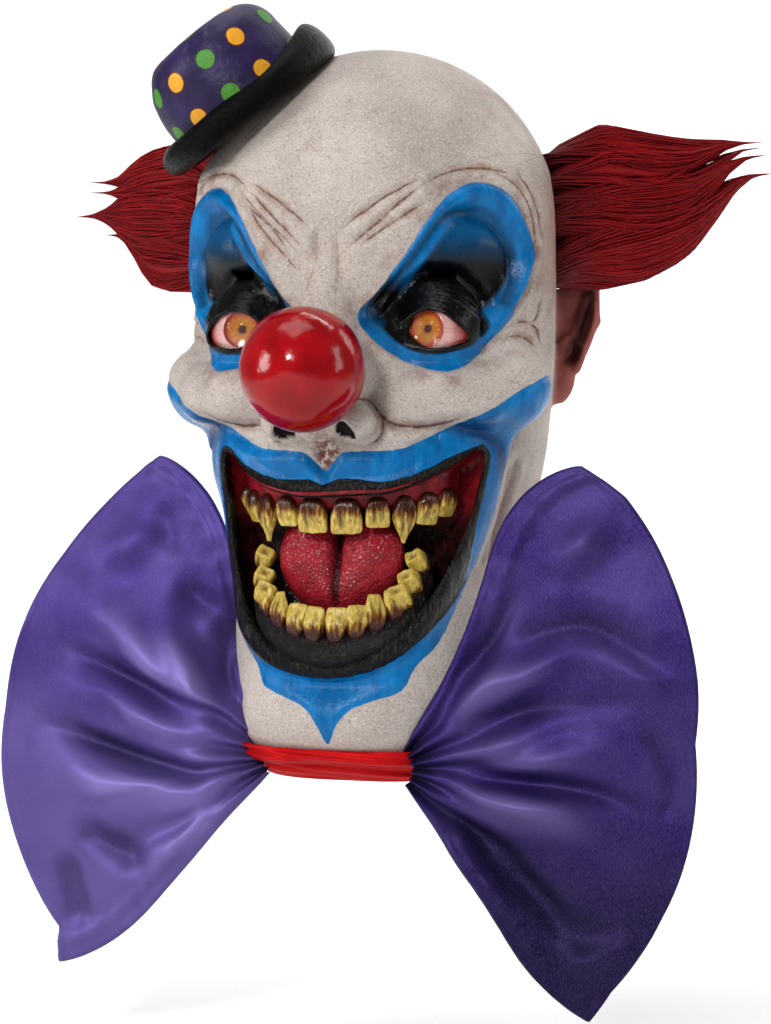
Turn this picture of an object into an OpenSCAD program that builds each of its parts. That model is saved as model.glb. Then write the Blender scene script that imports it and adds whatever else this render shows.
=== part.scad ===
// Full-head latex clown mask. A hollow latex skin carries resin eyes, a glued-on nose ball, two
// rows of separate teeth in gums, a tongue, a small felt hat, two hair tufts and a satin bow.
// Millimetres, +Z up, the face looks along -Y, and the origin is the middle of the wearer's
// eye line. "Left" is the side at -X, "right" the side at +X.

/* [Head] */
// Height of the crown above the eye line
crown_z = 132; // [128:1:140]
// Height of the neck rim, measured from the eye line
rim_z = -258; // [-270:1:-254]
// Wall thickness of the latex skin
wall = 3; // [2.5:0.5:4]
// How boxy the chin's horizontal sections are; 2 is an ellipse
chin_squareness = 3.8; // [2.5:0.1:4.2]

/* [Eyes] */
// Distance of each eyeball's centre from the middle plane
eye_x = 54; // [50:1:57]
// Height of the eyeballs' centres
eye_z = -21; // [-23:1:-17]
// Radius of an eyeball
eye_r = 20; // [18:0.5:21]
// Radius of an iris
iris_r = 9.5; // [8:0.5:11]
// Width of each slot that the wearer looks through
slot_w = 30; // [24:1:34]

/* [Nose] */
// Radius of the nose ball
nose_r = 32; // [28:1:34]
// Height of the nose ball's centre
nose_z = -42; // [-46:1:-40]

/* [Mouth] */
// Distance of each corner of the mouth from the middle plane
mouth_half = 72; // [68:1:74]
// Height of the mouth's corners
mouth_top_z = -86; // [-90:1:-84]
// Height of the bottom of the mouth opening
mouth_bottom_z = -194; // [-198:1:-188]
// Radius of the rolled lip round the opening
lip_r = 6; // [4:0.5:7]

/* [Hat] */
// Radius of the crown's base
hat_r = 41; // [36:1:44]
// Height of the crown
hat_h = 48; // [42:1:54]
// Width of the brim beyond the crown
brim_w = 12; // [9:1:14]

/* [Hair] */
// How far a tuft stands out from the scalp
tuft_reach = 112; // [98:1:118]
// Sweep of the tufts towards the back, in degrees
tuft_sweep = 29; // [22:1:34]

/* [Bow] */
// Reach of a wing from its gather to its outer edge
wing_reach = 140; // [135:1:158]
// Sweep of the wings towards the back, in degrees
wing_sweep = 3; // [1:1:8]
// Thickness of the closed wing where it is fullest
wing_full = 22; // [14:1:26]

/* [Hidden] */

gap = 0.3;                    // air left between neighbouring pieces
eye_y = -65;                  // depth of the eyeballs' centres
round_fn = 20;                // facets of a rounded helper shape

// Outlines of the head as [height, value]: half width, front edge, back edge, the depth at
// which the head is widest, and how square its sections are.
half_widths = [[rim_z, 50], [-236, 56], [-205, 63], [-169, 71], [-125, 82], [-86, 92],
    [-50, 97], [0, 100], [40, 98], [65, 93], [90, 79], [106, 65], [120, 45], [crown_z, 4]];
fronts = [[rim_z, -68], [-250, -74], [-242, -88], [-230, -92], [-196, -88], [-150, -95],
    [-100, -104], [-45, -106], [0, -99], [20, -95], [50, -95], [80, -86], [105, -66],
    [120, -45], [crown_z, -4]];
backs = [[rim_z, 58], [-200, 62], [-150, 70], [-100, 86], [-60, 102], [-20, 111], [20, 111],
    [60, 98], [90, 76], [110, 52], [122, 30], [crown_z, 4]];
widest = [[rim_z, -6], [-150, 0], [-60, -4], [40, -13], [crown_z, -2]];
corners = [[rim_z, chin_squareness], [-225, chin_squareness], [-190, 2.6], [-150, 2.2],
    [-86, 2.05], [-40, 2.3], [40, 2.4], [crown_z, 2]];

function eased(z, table) =
    (lookup(z - 8, table) + 2 * lookup(z, table) + lookup(z + 8, table)) / 4;
function power(v, p) = sign(v) * pow(abs(v), p);
function half_width(z) = eased(z, half_widths);
function front_y(z) = eased(z, fronts);
function back_y(z) = eased(z, backs);
function widest_y(z) = eased(z, widest);
function corner(z) = eased(z, corners);

// Point of the head's surface at height z and bearing a (-90 is the face, 0 is the right side),
// moved outwards by off.
function skin_point(z, a, off = 0) =
    let (mid = widest_y(z),
         reach = sin(a) < 0 ? mid - front_y(z) + off : back_y(z) - mid + off,
         p = 2 / corner(z))
    [(half_width(z) + off) * power(cos(a), p), mid + reach * power(sin(a), p), z];

// Depth of the face's surface at x, z
function face_y(x, z) =
    let (mid = widest_y(z), n = corner(z), share = min(abs(x) / half_width(z), 0.999))
    mid - (mid - front_y(z)) * pow(1 - pow(share, n), 1 / n);

// Closed surface through rings of equal length: flat ends, or with round the last ring joins
// the first
module loft(rings, round = false) {
    n = len(rings[0]);
    count = len(rings);
    strips = round ? count : count - 1;
    polyhedron(
        points = [for (ring = rings) each ring],
        faces = [
            for (r = [0 : strips - 1]) let (next = (r + 1) % count)
                for (i = [0 : n - 1]) let (j = (i + 1) % n)
                    each [[r * n + i, next * n + i, next * n + j],
                          [r * n + i, next * n + j, r * n + j]],
            if (!round) [for (i = [0 : n - 1]) i],
            if (!round) [for (i = [n - 1 : -1 : 0]) (count - 1) * n + i]
        ],
        convexity = 8);
}

// The head from height low up to the crown, as one solid
module head_form(low) {
    levels = 22;
    facets = 36;
    loft([for (i = [0 : levels])
        let (z = low + (crown_z - low) * (1 - pow(1 - i / levels, 1.7)))
        [for (k = [0 : facets - 1]) skin_point(z, 360 * k / facets)]]);
}

module head_hollow() {
    below = 16;
    scale([1 - wall / 99, 1 - wall / 110, 1 - wall / crown_z]) head_form(rim_z - below);
}

// A strip that follows the head between two heights and two bearings
module skin_strip(low, high, from, to, inner, outer, rows, columns) {
    loft([for (c = [0 : columns])
        let (a = from + (to - from) * c / columns)
        concat(
            [for (r = [0 : rows]) skin_point(low + (high - low) * r / rows, a, inner)],
            [for (r = [rows : -1 : 0]) skin_point(low + (high - low) * r / rows, a, outer)])]);
}

// Outline of the mouth opening in the XZ plane, grown by more; u runs once round from 0 to 360
function mouth_outline(u, more = 0) =
    let (half = mouth_half + more,
         drop = mouth_top_z - mouth_bottom_z + more,
         arch = 13,
         x = half * power(cos(u), 0.8))
    sin(u) >= 0
        ? [x, mouth_top_z - arch * pow(sin(u), 1.5) + more * sin(u)]
        : [x, mouth_top_z - drop * pow(-sin(u), 0.9)];

module mouth_prism(more, front, back) {
    translate([0, back, 0]) rotate([90, 0, 0])
        linear_extrude(back - front) polygon([for (u = [0 : 10 : 350]) mouth_outline(u, more)]);
}

module ball(at, size, fn = round_fn) {
    translate(at) scale(size) sphere(1, $fn = fn);
}

/* ---- skin ---- */

module lip_roll() {
    step = 15;
    for (u = [0 : step : 360 - step]) hull() for (v = [u, u + step]) {
        p = mouth_outline(v, lip_r * 0.6);
        ball([p[0], face_y(p[0], p[1]) + 1, p[1]], [lip_r, lip_r, lip_r], 12);
    }
}

module nose_bridge() {
    base = [0, -98, nose_z];
    hull() {
        ball([0, -94, 8], [9, 8, 12]);
        translate([0, -nose_pad_y, nose_z]) rotate([90, 0, 0]) cylinder(r = 22, h = 1, $fn = 40);
        ball(base, [26, 8, 24]);
    }
    for (side = [-1, 1]) hull() {
        ball([side * 19, -108, nose_z - 26], [11, 10, 9]);
        ball([side * 8, -104, nose_z - 18], [8, 8, 12]);
    }
}
nose_pad_y = 112;             // depth of the flat seat behind the nose ball
nose_y = -130;                // depth of the nose ball's centre

module brow_and_cheeks() {
    for (side = [-1, 1]) {
        hull() {
            ball([side * 28, -88, 22], [16, 11, 10]);
            ball([side * 74, -62, 46], [16, 14, 12]);
        }
        hull() {
            ball([side * 50, -82, -58], [24, 16, 17]);
            ball([side * 84, -46, -54], [21, 24, 21]);
        }
    }
}

module ear(side) {
    lean = 24;
    translate([side * 94, 30, -28]) rotate([0, side * 6, side * lean]) difference() {
        hull() {
            ball([side * 12, 6, 14], [13, 9, 20]);
            ball([side * 8, 2, -20], [9, 6, 13]);
            ball([0, -4, 0], [6, 7, 24]);
        }
        ball([side * 15, -8, 6], [11, 9, 18]);
    }
}

// Solid latex that carries an eyeball, shaped off at the head's surface
module eye_block(side) {
    intersection() {
        head_form(rim_z);
        translate([side * eye_x, -60, eye_z]) rotate([90, 0, 0])
            cylinder(r = eye_r + 3, h = 60, $fn = 40);
    }
}

module eye_cuts(side) {
    socket_depth = 15;
    at = [side * eye_x, eye_y, eye_z];
    ball(at, (eye_r + gap) * [1, 1, 1], 32);
    // recess in front of the eyeball
    ball([side * eye_x, face_y(eye_x, eye_z) - 6, eye_z + 4], [25, socket_depth, 18]);
    // lid opening
    hull() for (dx = [-13, 13])
        translate([side * eye_x + dx, -58, eye_z]) rotate([90, 0, 0])
            cylinder(r = dx * side < 0 ? 6 : 4, h = 60, $fn = 24);
    // slot that the wearer looks through
    slot_h = 9;
    translate([side * (eye_x + 3) - slot_w / 2, -120, slot_z - slot_h / 2])
        cube([slot_w, 75, slot_h]);
}
slot_z = 8;                   // height of the middle of the slots

module nostril(side) {
    translate([side * 17, -112, nose_z - 34]) rotate([-30, 0, 0])
        scale([1, 0.75, 1]) cylinder(r = 5, h = 30, $fn = 24);
}

module mask_skin() {
    color("antiquewhite") difference() {
        union() {
            difference() {
                union() {
                    head_form(rim_z);
                    nose_bridge();
                    brow_and_cheeks();
                    lip_roll();
                    ear(-1);
                    ear(1);
                }
                head_hollow();
            }
            eye_block(-1);
            eye_block(1);
        }
        mouth_prism(0, -150, -45);
        for (side = [-1, 1]) {
            eye_cuts(side);
            nostril(side);
        }
    }
}

/* ---- nose ball: a hollow ball, cut flat where it is glued on ---- */

module nose_ball() {
    shell = 3;
    color("firebrick") translate([0, nose_y, nose_z]) rotate([-90, 0, 0]) rotate_extrude($fn = 64)
        intersection() {
            difference() {
                circle(nose_r, $fn = 64);
                circle(nose_r - shell, $fn = 64);
            }
            translate([0, -nose_r]) square([nose_r, nose_r - nose_y - nose_pad_y]);
        }
}

/* ---- eyes ---- */

iris_depth = 3.2;             // how deep the iris sits behind the eyeball's front

// A half-round eyeball with a flat back and a round seat for the iris
module eyeball(side) {
    back_of_dome = 5;
    color("mistyrose") translate([side * eye_x, eye_y, eye_z]) rotate([90, 0, 0])
        difference() {
            sphere(eye_r, $fn = 64);
            translate([0, 0, -eye_r - back_of_dome]) cylinder(r = eye_r + 1, h = eye_r, $fn = 64);
            translate([0, 0, eye_r - iris_depth - 1]) cylinder(r = iris_r, h = 10, $fn = 48);
        }
}

module iris(side) {
    color("orange") translate([side * eye_x, eye_y, eye_z]) rotate([90, 0, 0])
        translate([0, 0, eye_r - iris_depth - 1]) cylinder(r = iris_r - 0.1, h = 0.9, $fn = 48);
}

// Clear plug that closes the seat and follows the eyeball's curve
module cornea(side) {
    color("white", 0.4) translate([side * eye_x, eye_y, eye_z]) rotate([90, 0, 0])
        intersection() {
            sphere(eye_r, $fn = 64);
            translate([0, 0, eye_r - iris_depth]) cylinder(r = iris_r - 0.1, h = 10, $fn = 48);
        }
}

/* ---- mouth ---- */

// A point of the lower tooth row at bearing t, 0 in the middle and positive to the right
function lower_arch(t, in = 0) =
    [(46 - in) * sin(t), -65 - (31 - in) * cos(t), -181 + 44 * pow(abs(t) / 100, 1.8)];
function upper_arch(t, in = 0) =
    [(60 - in) * sin(t), -42 - (46 - in) * cos(t), -109 + 6 * pow(abs(t) / 75, 2)];

// Rounded bar along an arch
module gum_bar(path, size) {
    for (i = [0 : len(path) - 2]) hull() for (k = [i, i + 1]) ball(path[k], size, 10);
}

module upper_gum() {
    color("maroon") gum_bar([for (t = [-78 : 13 : 78]) upper_arch(t, 2) + [0, 0, 3]], [6, 5, 7]);
}

module lower_gum() {
    color("maroon") gum_bar([for (t = [-96 : 16 : 96]) lower_arch(t, 1) - [0, 0, 7]], [5, 4, 9]);
}

// One tooth, crown along +Z from its root at the origin. It widens from the neck and ends in
// an edge (point = 0) or a point (point = 1).
module tooth(width, height, depth, point) {
    color("khaki") hull() {
        ball([0, 0, -1], [width * 0.42, depth * 0.45, 3], 12);
        ball([0, -0.5, height * 0.45], [width * 0.5, depth * 0.5, 4], 12);
        ball([0, 0, height - 1.5], [width * (0.44 - 0.34 * point), depth * 0.28, 1.5], 12);
    }
}

module upper_tooth(t, width, height, point = 0) {
    translate(upper_arch(t) - [0, 0, 3]) rotate([0, 0, t]) mirror([0, 0, 1])
        tooth(width, height, 8, point);
}

module lower_tooth(t, width, height, point = 0) {
    translate(lower_arch(t)) rotate([0, 0, t]) tooth(width, height, 8, point);
}

// Cup behind the lips that closes the mouth off from the wearer
module mouth_liner() {
    thick = 2;
    throat_y = -46;
    steps = [for (u = [350 : -10 : 0]) u];
    function rim_point(u, more) =
        let (p = mouth_outline(u, more))
        [p[0], min(face_y(p[0], p[1]) + wall + 2, throat_y - 8), p[1]];
    function deep_ring(share, y) =
        [for (u = steps) let (p = mouth_outline(u, 0)) [p[0] * share, y,
            liner_mid_z + (p[1] - liner_mid_z) * share]];
    color("darkred") loft([
        [for (u = steps) rim_point(u, 2)],
        [for (u = steps) let (p = rim_point(u, 2.4)) [p[0], (p[1] + throat_y) / 2, p[2]]],
        deep_ring(0.86, throat_y + thick),
        deep_ring(0.02, throat_y + thick + 1),
        deep_ring(0.01, throat_y + 1),
        deep_ring(0.82, throat_y),
        [for (u = steps) let (p = rim_point(u, 0)) [p[0], (p[1] + throat_y) / 2, p[2]]],
        [for (u = steps) rim_point(u, 0)]
    ], round = true);
}
liner_mid_z = -140;

module tongue() {
    color("indianred") hull() {
        ball([-14, -76, -160], [15, 9, 13], 20);
        ball([14, -76, -160], [15, 9, 13], 20);
        ball([0, -66, -147], [30, 10, 15], 24);
        ball([0, -53, -150], [26, 8, 17], 20);
    }
}

/* ---- hat ---- */

hat_at = [-62.5, -35.5, 98.5];
hat_tilt = [15, -35, 0];
hat_shell = 2.5;

module hat_place() {
    translate(hat_at) rotate(hat_tilt) children();
}

// Half outline of the dome, grown inwards by inset
module dome_outline(inset) {
    shoulder = 20;
    intersection() {
        offset(r = -inset) hull() {
            translate([-hat_r, -40]) square([2 * hat_r, 42]);
            for (side = [-1, 1])
                translate([side * (hat_r - shoulder - 2), hat_h - shoulder]) circle(shoulder, $fn = 48);
        }
        square([hat_r + 5, hat_h + 5]);
    }
}

module hat_crown() {
    color("indigo") hat_place() rotate_extrude($fn = 72) difference() {
        dome_outline(0);
        dome_outline(hat_shell);
    }
}

module hat_brim() {
    roll = 4.5;
    color("black") hat_place() rotate_extrude($fn = 72) {
        translate([hat_r - 8, -3]) square([brim_w + 8, 3]);
        translate([hat_r + brim_w, roll - 3]) circle(roll, $fn = 32);
    }
}

// Foam block inside the crown, resting on the scalp
module hat_core() {
    color("dimgray") hat_place() rotate_extrude($fn = 64) dome_outline(hat_shell + gap);
}

/* ---- hair ---- */

module hair_base(side) {
    from = side > 0 ? -3 : 150;
    color("darkred") skin_strip(6, 74, from, from + 33, gap, 2.4, 8, 6);
}

tuft_at = [103, 22, 40];      // where a tuft pivots on the scalp

module hair_tuft(side) {
    color("darkred") translate([side * tuft_at[0], tuft_at[1], tuft_at[2]])
        rotate([0, 0, side * tuft_sweep]) scale([side, 1, 1]) {
            hull() {
                ball([8, 0, 0], [5, 15, 33], 20);
                ball([44, 0, 7], [18, 20, 40], 20);
            }
            hull() {
                ball([44, 0, 7], [18, 20, 40], 20);
                ball([tuft_reach - 20, 0, 18], [20, 15, 26], 20);
            }
        }
}

/* ---- bow ---- */

gather_at = [55, -84, -250];  // where a wing is gathered onto the band
pole_in = 14;                 // the wing's folds meet this far inside the gather
fan_low = -46;
fan_high = 61;
fold_count = 5;

// Distance from the gather to the wing's edge along the bearing a, as a share of its reach
edge_shares = [[-46, 1.04], [-38, 1.0], [-28, 0.98], [-14, 0.98], [0, 1.0], [22, 1.02],
    [38, 1.07], [52, 1.12], [61, 1.14]];

// Middle surface of a wing: bearing a, share s of the way out
function wing_mid(a, s) =
    let (r = pole_in + wing_reach * lookup(a, edge_shares) * s,
         wave = 6 * s * sin(fold_count * 180 * (a - fan_low) / (fan_high - fan_low)))
    [r * cos(a) - pole_in, wave, r * sin(a)];

function wing_half_thickness(a, s) =
    let (across = sin(180 * (a - fan_low) / (fan_high - fan_low)))
    1.6 + (wing_full / 2 - 1.6) * pow(max(across, 0), 0.6) * pow(sin(180 * (0.1 + 0.87 * s)), 0.8);

module wing(side) {
    columns = 30;
    rings = 9;
    color("rebeccapurple")
        translate([side * gather_at[0], gather_at[1], gather_at[2]])
        rotate([0, 0, side * wing_sweep]) scale([side, 1, 1])
        loft([for (c = [0 : columns])
            let (a = fan_low + (fan_high - fan_low) * c / columns)
            concat(
                [for (k = [0 : rings]) let (s = k / rings)
                    wing_mid(a, s) - [0, wing_half_thickness(a, s), 0]],
                [for (k = [rings : -1 : 0]) let (s = k / rings)
                    wing_mid(a, s) + [0, wing_half_thickness(a, s), 0]])]);
}

module bow_band() {
    color("crimson") skin_strip(-257, -241, -90 - 43, -90 + 43, 2.1, 6.5, 4, 16);
}

module neck_elastic() {
    color("darkslategray") skin_strip(-256, -244, -58, 238, gap, 1.8, 2, 32);
}

mask_skin();
nose_ball();
eyeball(-1);  // eyeball_left
eyeball(1);  // eyeball_right
iris(-1);  // iris_left
iris(1);  // iris_right
cornea(-1);  // cornea_left
cornea(1);  // cornea_right
upper_gum();
lower_gum();
mouth_liner();
tongue();
upper_tooth(-9, 15, 15);  // upper_incisor_left_1
upper_tooth(-24.5, 11.5, 12);  // upper_incisor_left_2
upper_tooth(-39, 12, 22, 1);  // upper_canine_left
upper_tooth(-53, 11, 14);  // upper_premolar_left
upper_tooth(-67, 10, 12);  // upper_molar_left
upper_tooth(9, 15, 15);  // upper_incisor_right_1
upper_tooth(24.5, 11.5, 12);  // upper_incisor_right_2
upper_tooth(39, 12, 22, 1);  // upper_canine_right
upper_tooth(53, 11, 14);  // upper_premolar_right
upper_tooth(67, 10, 12);  // upper_molar_right
lower_tooth(-7, 10, 15);  // lower_incisor_left_1
lower_tooth(-20.5, 10, 14);  // lower_incisor_left_2
lower_tooth(-34.5, 10.5, 16, 0.5);  // lower_canine_left
lower_tooth(-48.5, 9, 12);  // lower_premolar_left
lower_tooth(-61.5, 9.5, 11);  // lower_molar_left_1
lower_tooth(-76, 8.5, 10);  // lower_molar_left_2
lower_tooth(-91, 8, 9);  // lower_molar_left_3
lower_tooth(7, 10, 15);  // lower_incisor_right_1
lower_tooth(20.5, 10, 14);  // lower_incisor_right_2
lower_tooth(34.5, 10.5, 16, 0.5);  // lower_canine_right
lower_tooth(48.5, 9, 12);  // lower_premolar_right
lower_tooth(61.5, 9.5, 11);  // lower_molar_right_1
lower_tooth(76, 8.5, 10);  // lower_molar_right_2
lower_tooth(91, 8, 9);  // lower_molar_right_3
hat_crown();
hat_brim();
hat_core();
hair_base(-1);  // hair_base_left
hair_base(1);  // hair_base_right
hair_tuft(-1);  // hair_tuft_left
hair_tuft(1);  // hair_tuft_right
bow_band();
wing(-1);  // wing_left
wing(1);  // wing_right
neck_elastic();
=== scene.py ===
import math
import random

import bpy
import numpy as np
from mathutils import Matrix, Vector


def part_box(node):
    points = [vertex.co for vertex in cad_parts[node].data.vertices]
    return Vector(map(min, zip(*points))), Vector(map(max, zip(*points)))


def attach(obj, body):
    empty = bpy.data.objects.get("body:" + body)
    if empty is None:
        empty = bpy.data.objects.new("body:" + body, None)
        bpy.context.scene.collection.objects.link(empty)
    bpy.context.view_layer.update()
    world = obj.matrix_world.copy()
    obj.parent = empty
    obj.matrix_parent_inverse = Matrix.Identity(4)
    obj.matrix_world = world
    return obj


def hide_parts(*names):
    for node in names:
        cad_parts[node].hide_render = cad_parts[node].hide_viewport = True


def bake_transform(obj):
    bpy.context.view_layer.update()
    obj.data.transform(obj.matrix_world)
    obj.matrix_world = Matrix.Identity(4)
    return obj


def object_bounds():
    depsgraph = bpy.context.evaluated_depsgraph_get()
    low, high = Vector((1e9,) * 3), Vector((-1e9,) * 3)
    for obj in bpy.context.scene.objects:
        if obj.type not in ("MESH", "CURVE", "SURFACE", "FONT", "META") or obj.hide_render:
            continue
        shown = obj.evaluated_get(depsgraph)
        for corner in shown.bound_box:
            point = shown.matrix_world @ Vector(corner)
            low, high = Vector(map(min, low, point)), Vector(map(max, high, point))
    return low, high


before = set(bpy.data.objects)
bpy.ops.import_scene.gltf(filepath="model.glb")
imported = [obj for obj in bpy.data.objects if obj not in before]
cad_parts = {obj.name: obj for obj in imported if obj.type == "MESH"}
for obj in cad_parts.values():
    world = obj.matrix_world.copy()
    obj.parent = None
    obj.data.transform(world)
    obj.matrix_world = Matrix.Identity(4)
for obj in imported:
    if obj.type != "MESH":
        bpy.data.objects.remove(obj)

import openvdb
from mathutils import Matrix, Vector

CAD_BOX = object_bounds()
MM = 0.001


# ================================================================ camera, light and floor

VIEW_AZIMUTH = math.radians(18)
VIEW_ELEVATION = math.radians(3)
CAMERA_AT = (0.4667, -1.430, -0.0418)
LENS_MM = 95.88


def make_camera():
    """Camera a little to the +X side of the face and slightly above level."""
    back = Vector((math.sin(VIEW_AZIMUTH) * math.cos(VIEW_ELEVATION),
                   -math.cos(VIEW_AZIMUTH) * math.cos(VIEW_ELEVATION),
                   math.sin(VIEW_ELEVATION)))
    data = bpy.data.cameras.new("camera")
    data.lens = LENS_MM
    data.sensor_width = 36
    data.clip_end = 20
    camera = bpy.data.objects.new("camera", data)
    bpy.context.collection.objects.link(camera)
    camera.location = CAMERA_AT
    camera.rotation_euler = back.to_track_quat("Z", "Y").to_euler()
    bpy.context.scene.camera = camera


def make_lamp(name, at, size, power, aim):
    data = bpy.data.lights.new(name, "AREA")
    data.shape = "RECTANGLE"
    data.size, data.size_y = size
    data.energy = power
    lamp = bpy.data.objects.new(name, data)
    bpy.context.collection.objects.link(lamp)
    lamp.location = at
    lamp.rotation_euler = (Vector(aim) - Vector(at)).to_track_quat("-Z", "Y").to_euler()


def make_studio():
    """Pale floor that curves up into a backdrop, and large soft lamps."""
    floor_z = CAD_BOX[0][2] - 0.05
    run, rise, turn, half = 3.4, 3.2, 0.9, 4.5
    arc = [math.pi / 2 * i / 24 for i in range(25)]
    profile = [(-3.0, 0.0)]
    profile += [(run - turn + turn * math.sin(a), turn - turn * math.cos(a)) for a in arc]
    profile.append((run, rise))
    points = [(x, y, floor_z + z) for x in (-half, half) for y, z in profile]
    n = len(profile)
    faces = [(i, i + n, i + n + 1, i + 1) for i in range(n - 1)]
    mesh = bpy.data.meshes.new("floor")
    mesh.from_pydata(points, [], faces)
    mesh.polygons.foreach_set("use_smooth", [True] * len(mesh.polygons))
    floor = bpy.data.objects.new("floor", mesh)
    bpy.context.collection.objects.link(floor)
    material = bpy.data.materials.new("studio_floor")
    material.use_nodes = True
    shader = material.node_tree.nodes["Principled BSDF"]
    shader.inputs["Base Color"].default_value = (0.9, 0.9, 0.9, 1)
    shader.inputs["Roughness"].default_value = 0.95
    mesh.materials.append(material)

    world = bpy.data.worlds.new("studio")
    world.use_nodes = True
    background = world.node_tree.nodes["Background"]
    background.inputs[0].default_value = (1, 1, 1, 1)
    background.inputs[1].default_value = 0.17
    bpy.context.scene.world = world
    middle = (0, 0, -0.1)
    make_lamp("key", (-0.1, -1.7, 0.65), (0.28, 0.34), 17, middle)
    make_lamp("fill", (-1.5, -1.1, 0.35), (0.5, 0.7), 13, middle)
    make_lamp("right", (1.7, -0.1, 0.5), (0.5, 0.9), 6, middle)
    make_lamp("rim", (1.0, 1.2, 0.9), (0.8, 0.8), 6, middle)
    make_lamp("top", (-0.2, -0.3, 1.5), (0.9, 0.9), 7, middle)
    make_lamp("backdrop", (0, 0.9, 1.9), (2.4, 0.6), 110, (0, 3.2, 0.3))
    bpy.context.scene.view_settings.view_transform = "Standard"


# ================================================================ small helpers

def add_object(name, mesh, body="root"):
    piece = bpy.data.objects.new(name, mesh)
    bpy.context.collection.objects.link(piece)
    if body:
        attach(piece, body)
    return piece


def add_piece(name, mesh, finish, node, body="root"):
    """Visual piece that stands for a CAD node, with its finish."""
    mesh.materials.append(finish)
    piece = add_object(name, mesh, body)
    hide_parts(node)
    return piece


def mesh_from(name, points, faces):
    """Smooth mesh from points in millimetres."""
    mesh = bpy.data.meshes.new(name)
    metres = (np.asarray(points, float) * MM).tolist()
    mesh.from_pydata(metres, [], [list(map(int, f)) for f in faces])
    mesh.polygons.foreach_set("use_smooth", [True] * len(mesh.polygons))
    mesh.update()
    return mesh


def store(mesh, name, values):
    """Keep one number a vertex, for the materials to read."""
    layer = mesh.attributes.new(name, "FLOAT", "POINT")
    layer.data.foreach_set("value", np.asarray(values, dtype=np.float32).ravel())


def grid_faces(rows, columns, wrap=False):
    """Faces of a grid of rows x columns points; wrap joins the last column to the first."""
    last = columns if wrap else columns - 1
    return [(r * columns + c, r * columns + (c + 1) % columns,
             (r + 1) * columns + (c + 1) % columns, (r + 1) * columns + c)
            for r in range(rows - 1) for c in range(last)]


def sheet_faces(rows, columns, front_first):
    """Faces of two layers of a grid, the second numbered after the first, and of their joined edges."""
    count = rows * columns
    over = grid_faces(rows, columns)
    turned_over = [tuple(reversed(f)) for f in over]
    near, far = (over, turned_over) if front_first else (turned_over, over)
    faces = near + [tuple(i + count for i in f) for f in far]
    ring = list(range(columns))
    ring += [r * columns + columns - 1 for r in range(1, rows)]
    ring += [(rows - 1) * columns + c for c in range(columns - 2, -1, -1)]
    ring += [r * columns for r in range(rows - 2, 0, -1)]
    for a, b in zip(ring, ring[1:] + ring[:1]):
        if front_first:
            a, b = b, a
        faces.append((a, b, b + count, a + count))
    return faces


def smooth_step(low, high, v):
    t = np.clip((v - low) / (high - low), 0, 1)
    return t * t * (3 - 2 * t)


def bump(distance, width):
    """1 on a line, falling away to 0 at about two widths from it."""
    return np.exp(-(distance / width) ** 2)


def soften(value, reach=2, rounds=3):
    """Average a flat grid of numbers with its neighbours, to round off its ridges."""
    for axis in (0, 1) * rounds:
        value = sum(np.roll(value, k, axis) for k in range(-reach, reach + 1)) / (2 * reach + 1)
    return value


def smooth_min(a, b, k):
    h = np.clip(0.5 + 0.5 * (b - a) / k, 0, 1)
    return b + (a - b) * h - k * h * (1 - h)


def smooth_max(a, b, k):
    return -smooth_min(-a, -b, k)


def ellipsoid(x, y, z, at, size):
    """Nearly the distance to an ellipsoid."""
    dx, dy, dz = (x - at[0]) / size[0], (y - at[1]) / size[1], (z - at[2]) / size[2]
    r = np.sqrt(dx * dx + dy * dy + dz * dz) + 1e-6
    slope = np.sqrt((dx / size[0]) ** 2 + (dy / size[1]) ** 2 + (dz / size[2]) ** 2) + 1e-6
    return (r - 1) * r / slope


def capsule(x, y, z, a, b, ra, rb):
    """Distance to a rounded bar from a to b whose radius goes from ra to rb."""
    a, b = np.array(a, float), np.array(b, float)
    d = b - a
    t = ((x - a[0]) * d[0] + (y - a[1]) * d[1] + (z - a[2]) * d[2]) / (d @ d)
    t = np.clip(t, 0, 1)
    away = np.sqrt((x - a[0] - t * d[0]) ** 2 + (y - a[1] - t * d[1]) ** 2
                   + (z - a[2] - t * d[2]) ** 2)
    return away - (ra + (rb - ra) * t)


def spline(points, closed=False, steps=6):
    """Smooth curve through points, as a polyline."""
    p = np.array(points, float)
    n = len(p)
    if closed:
        p = np.vstack([p[-1], p, p[:2]])
    else:
        p = np.vstack([2 * p[0] - p[1], p, 2 * p[-1] - p[-2]])
    count = n if closed else n - 1
    out = []
    for i in range(count):
        a, b, c, d = p[i:i + 4]
        for k in range(steps):
            t = k / steps
            out.append(0.5 * (2 * b + (c - a) * t + (2 * a - 5 * b + 4 * c - d) * t * t
                              + (3 * b - a - 3 * c + d) * t ** 3))
    if not closed:
        out.append(p[-2])
    return np.array(out)


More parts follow.
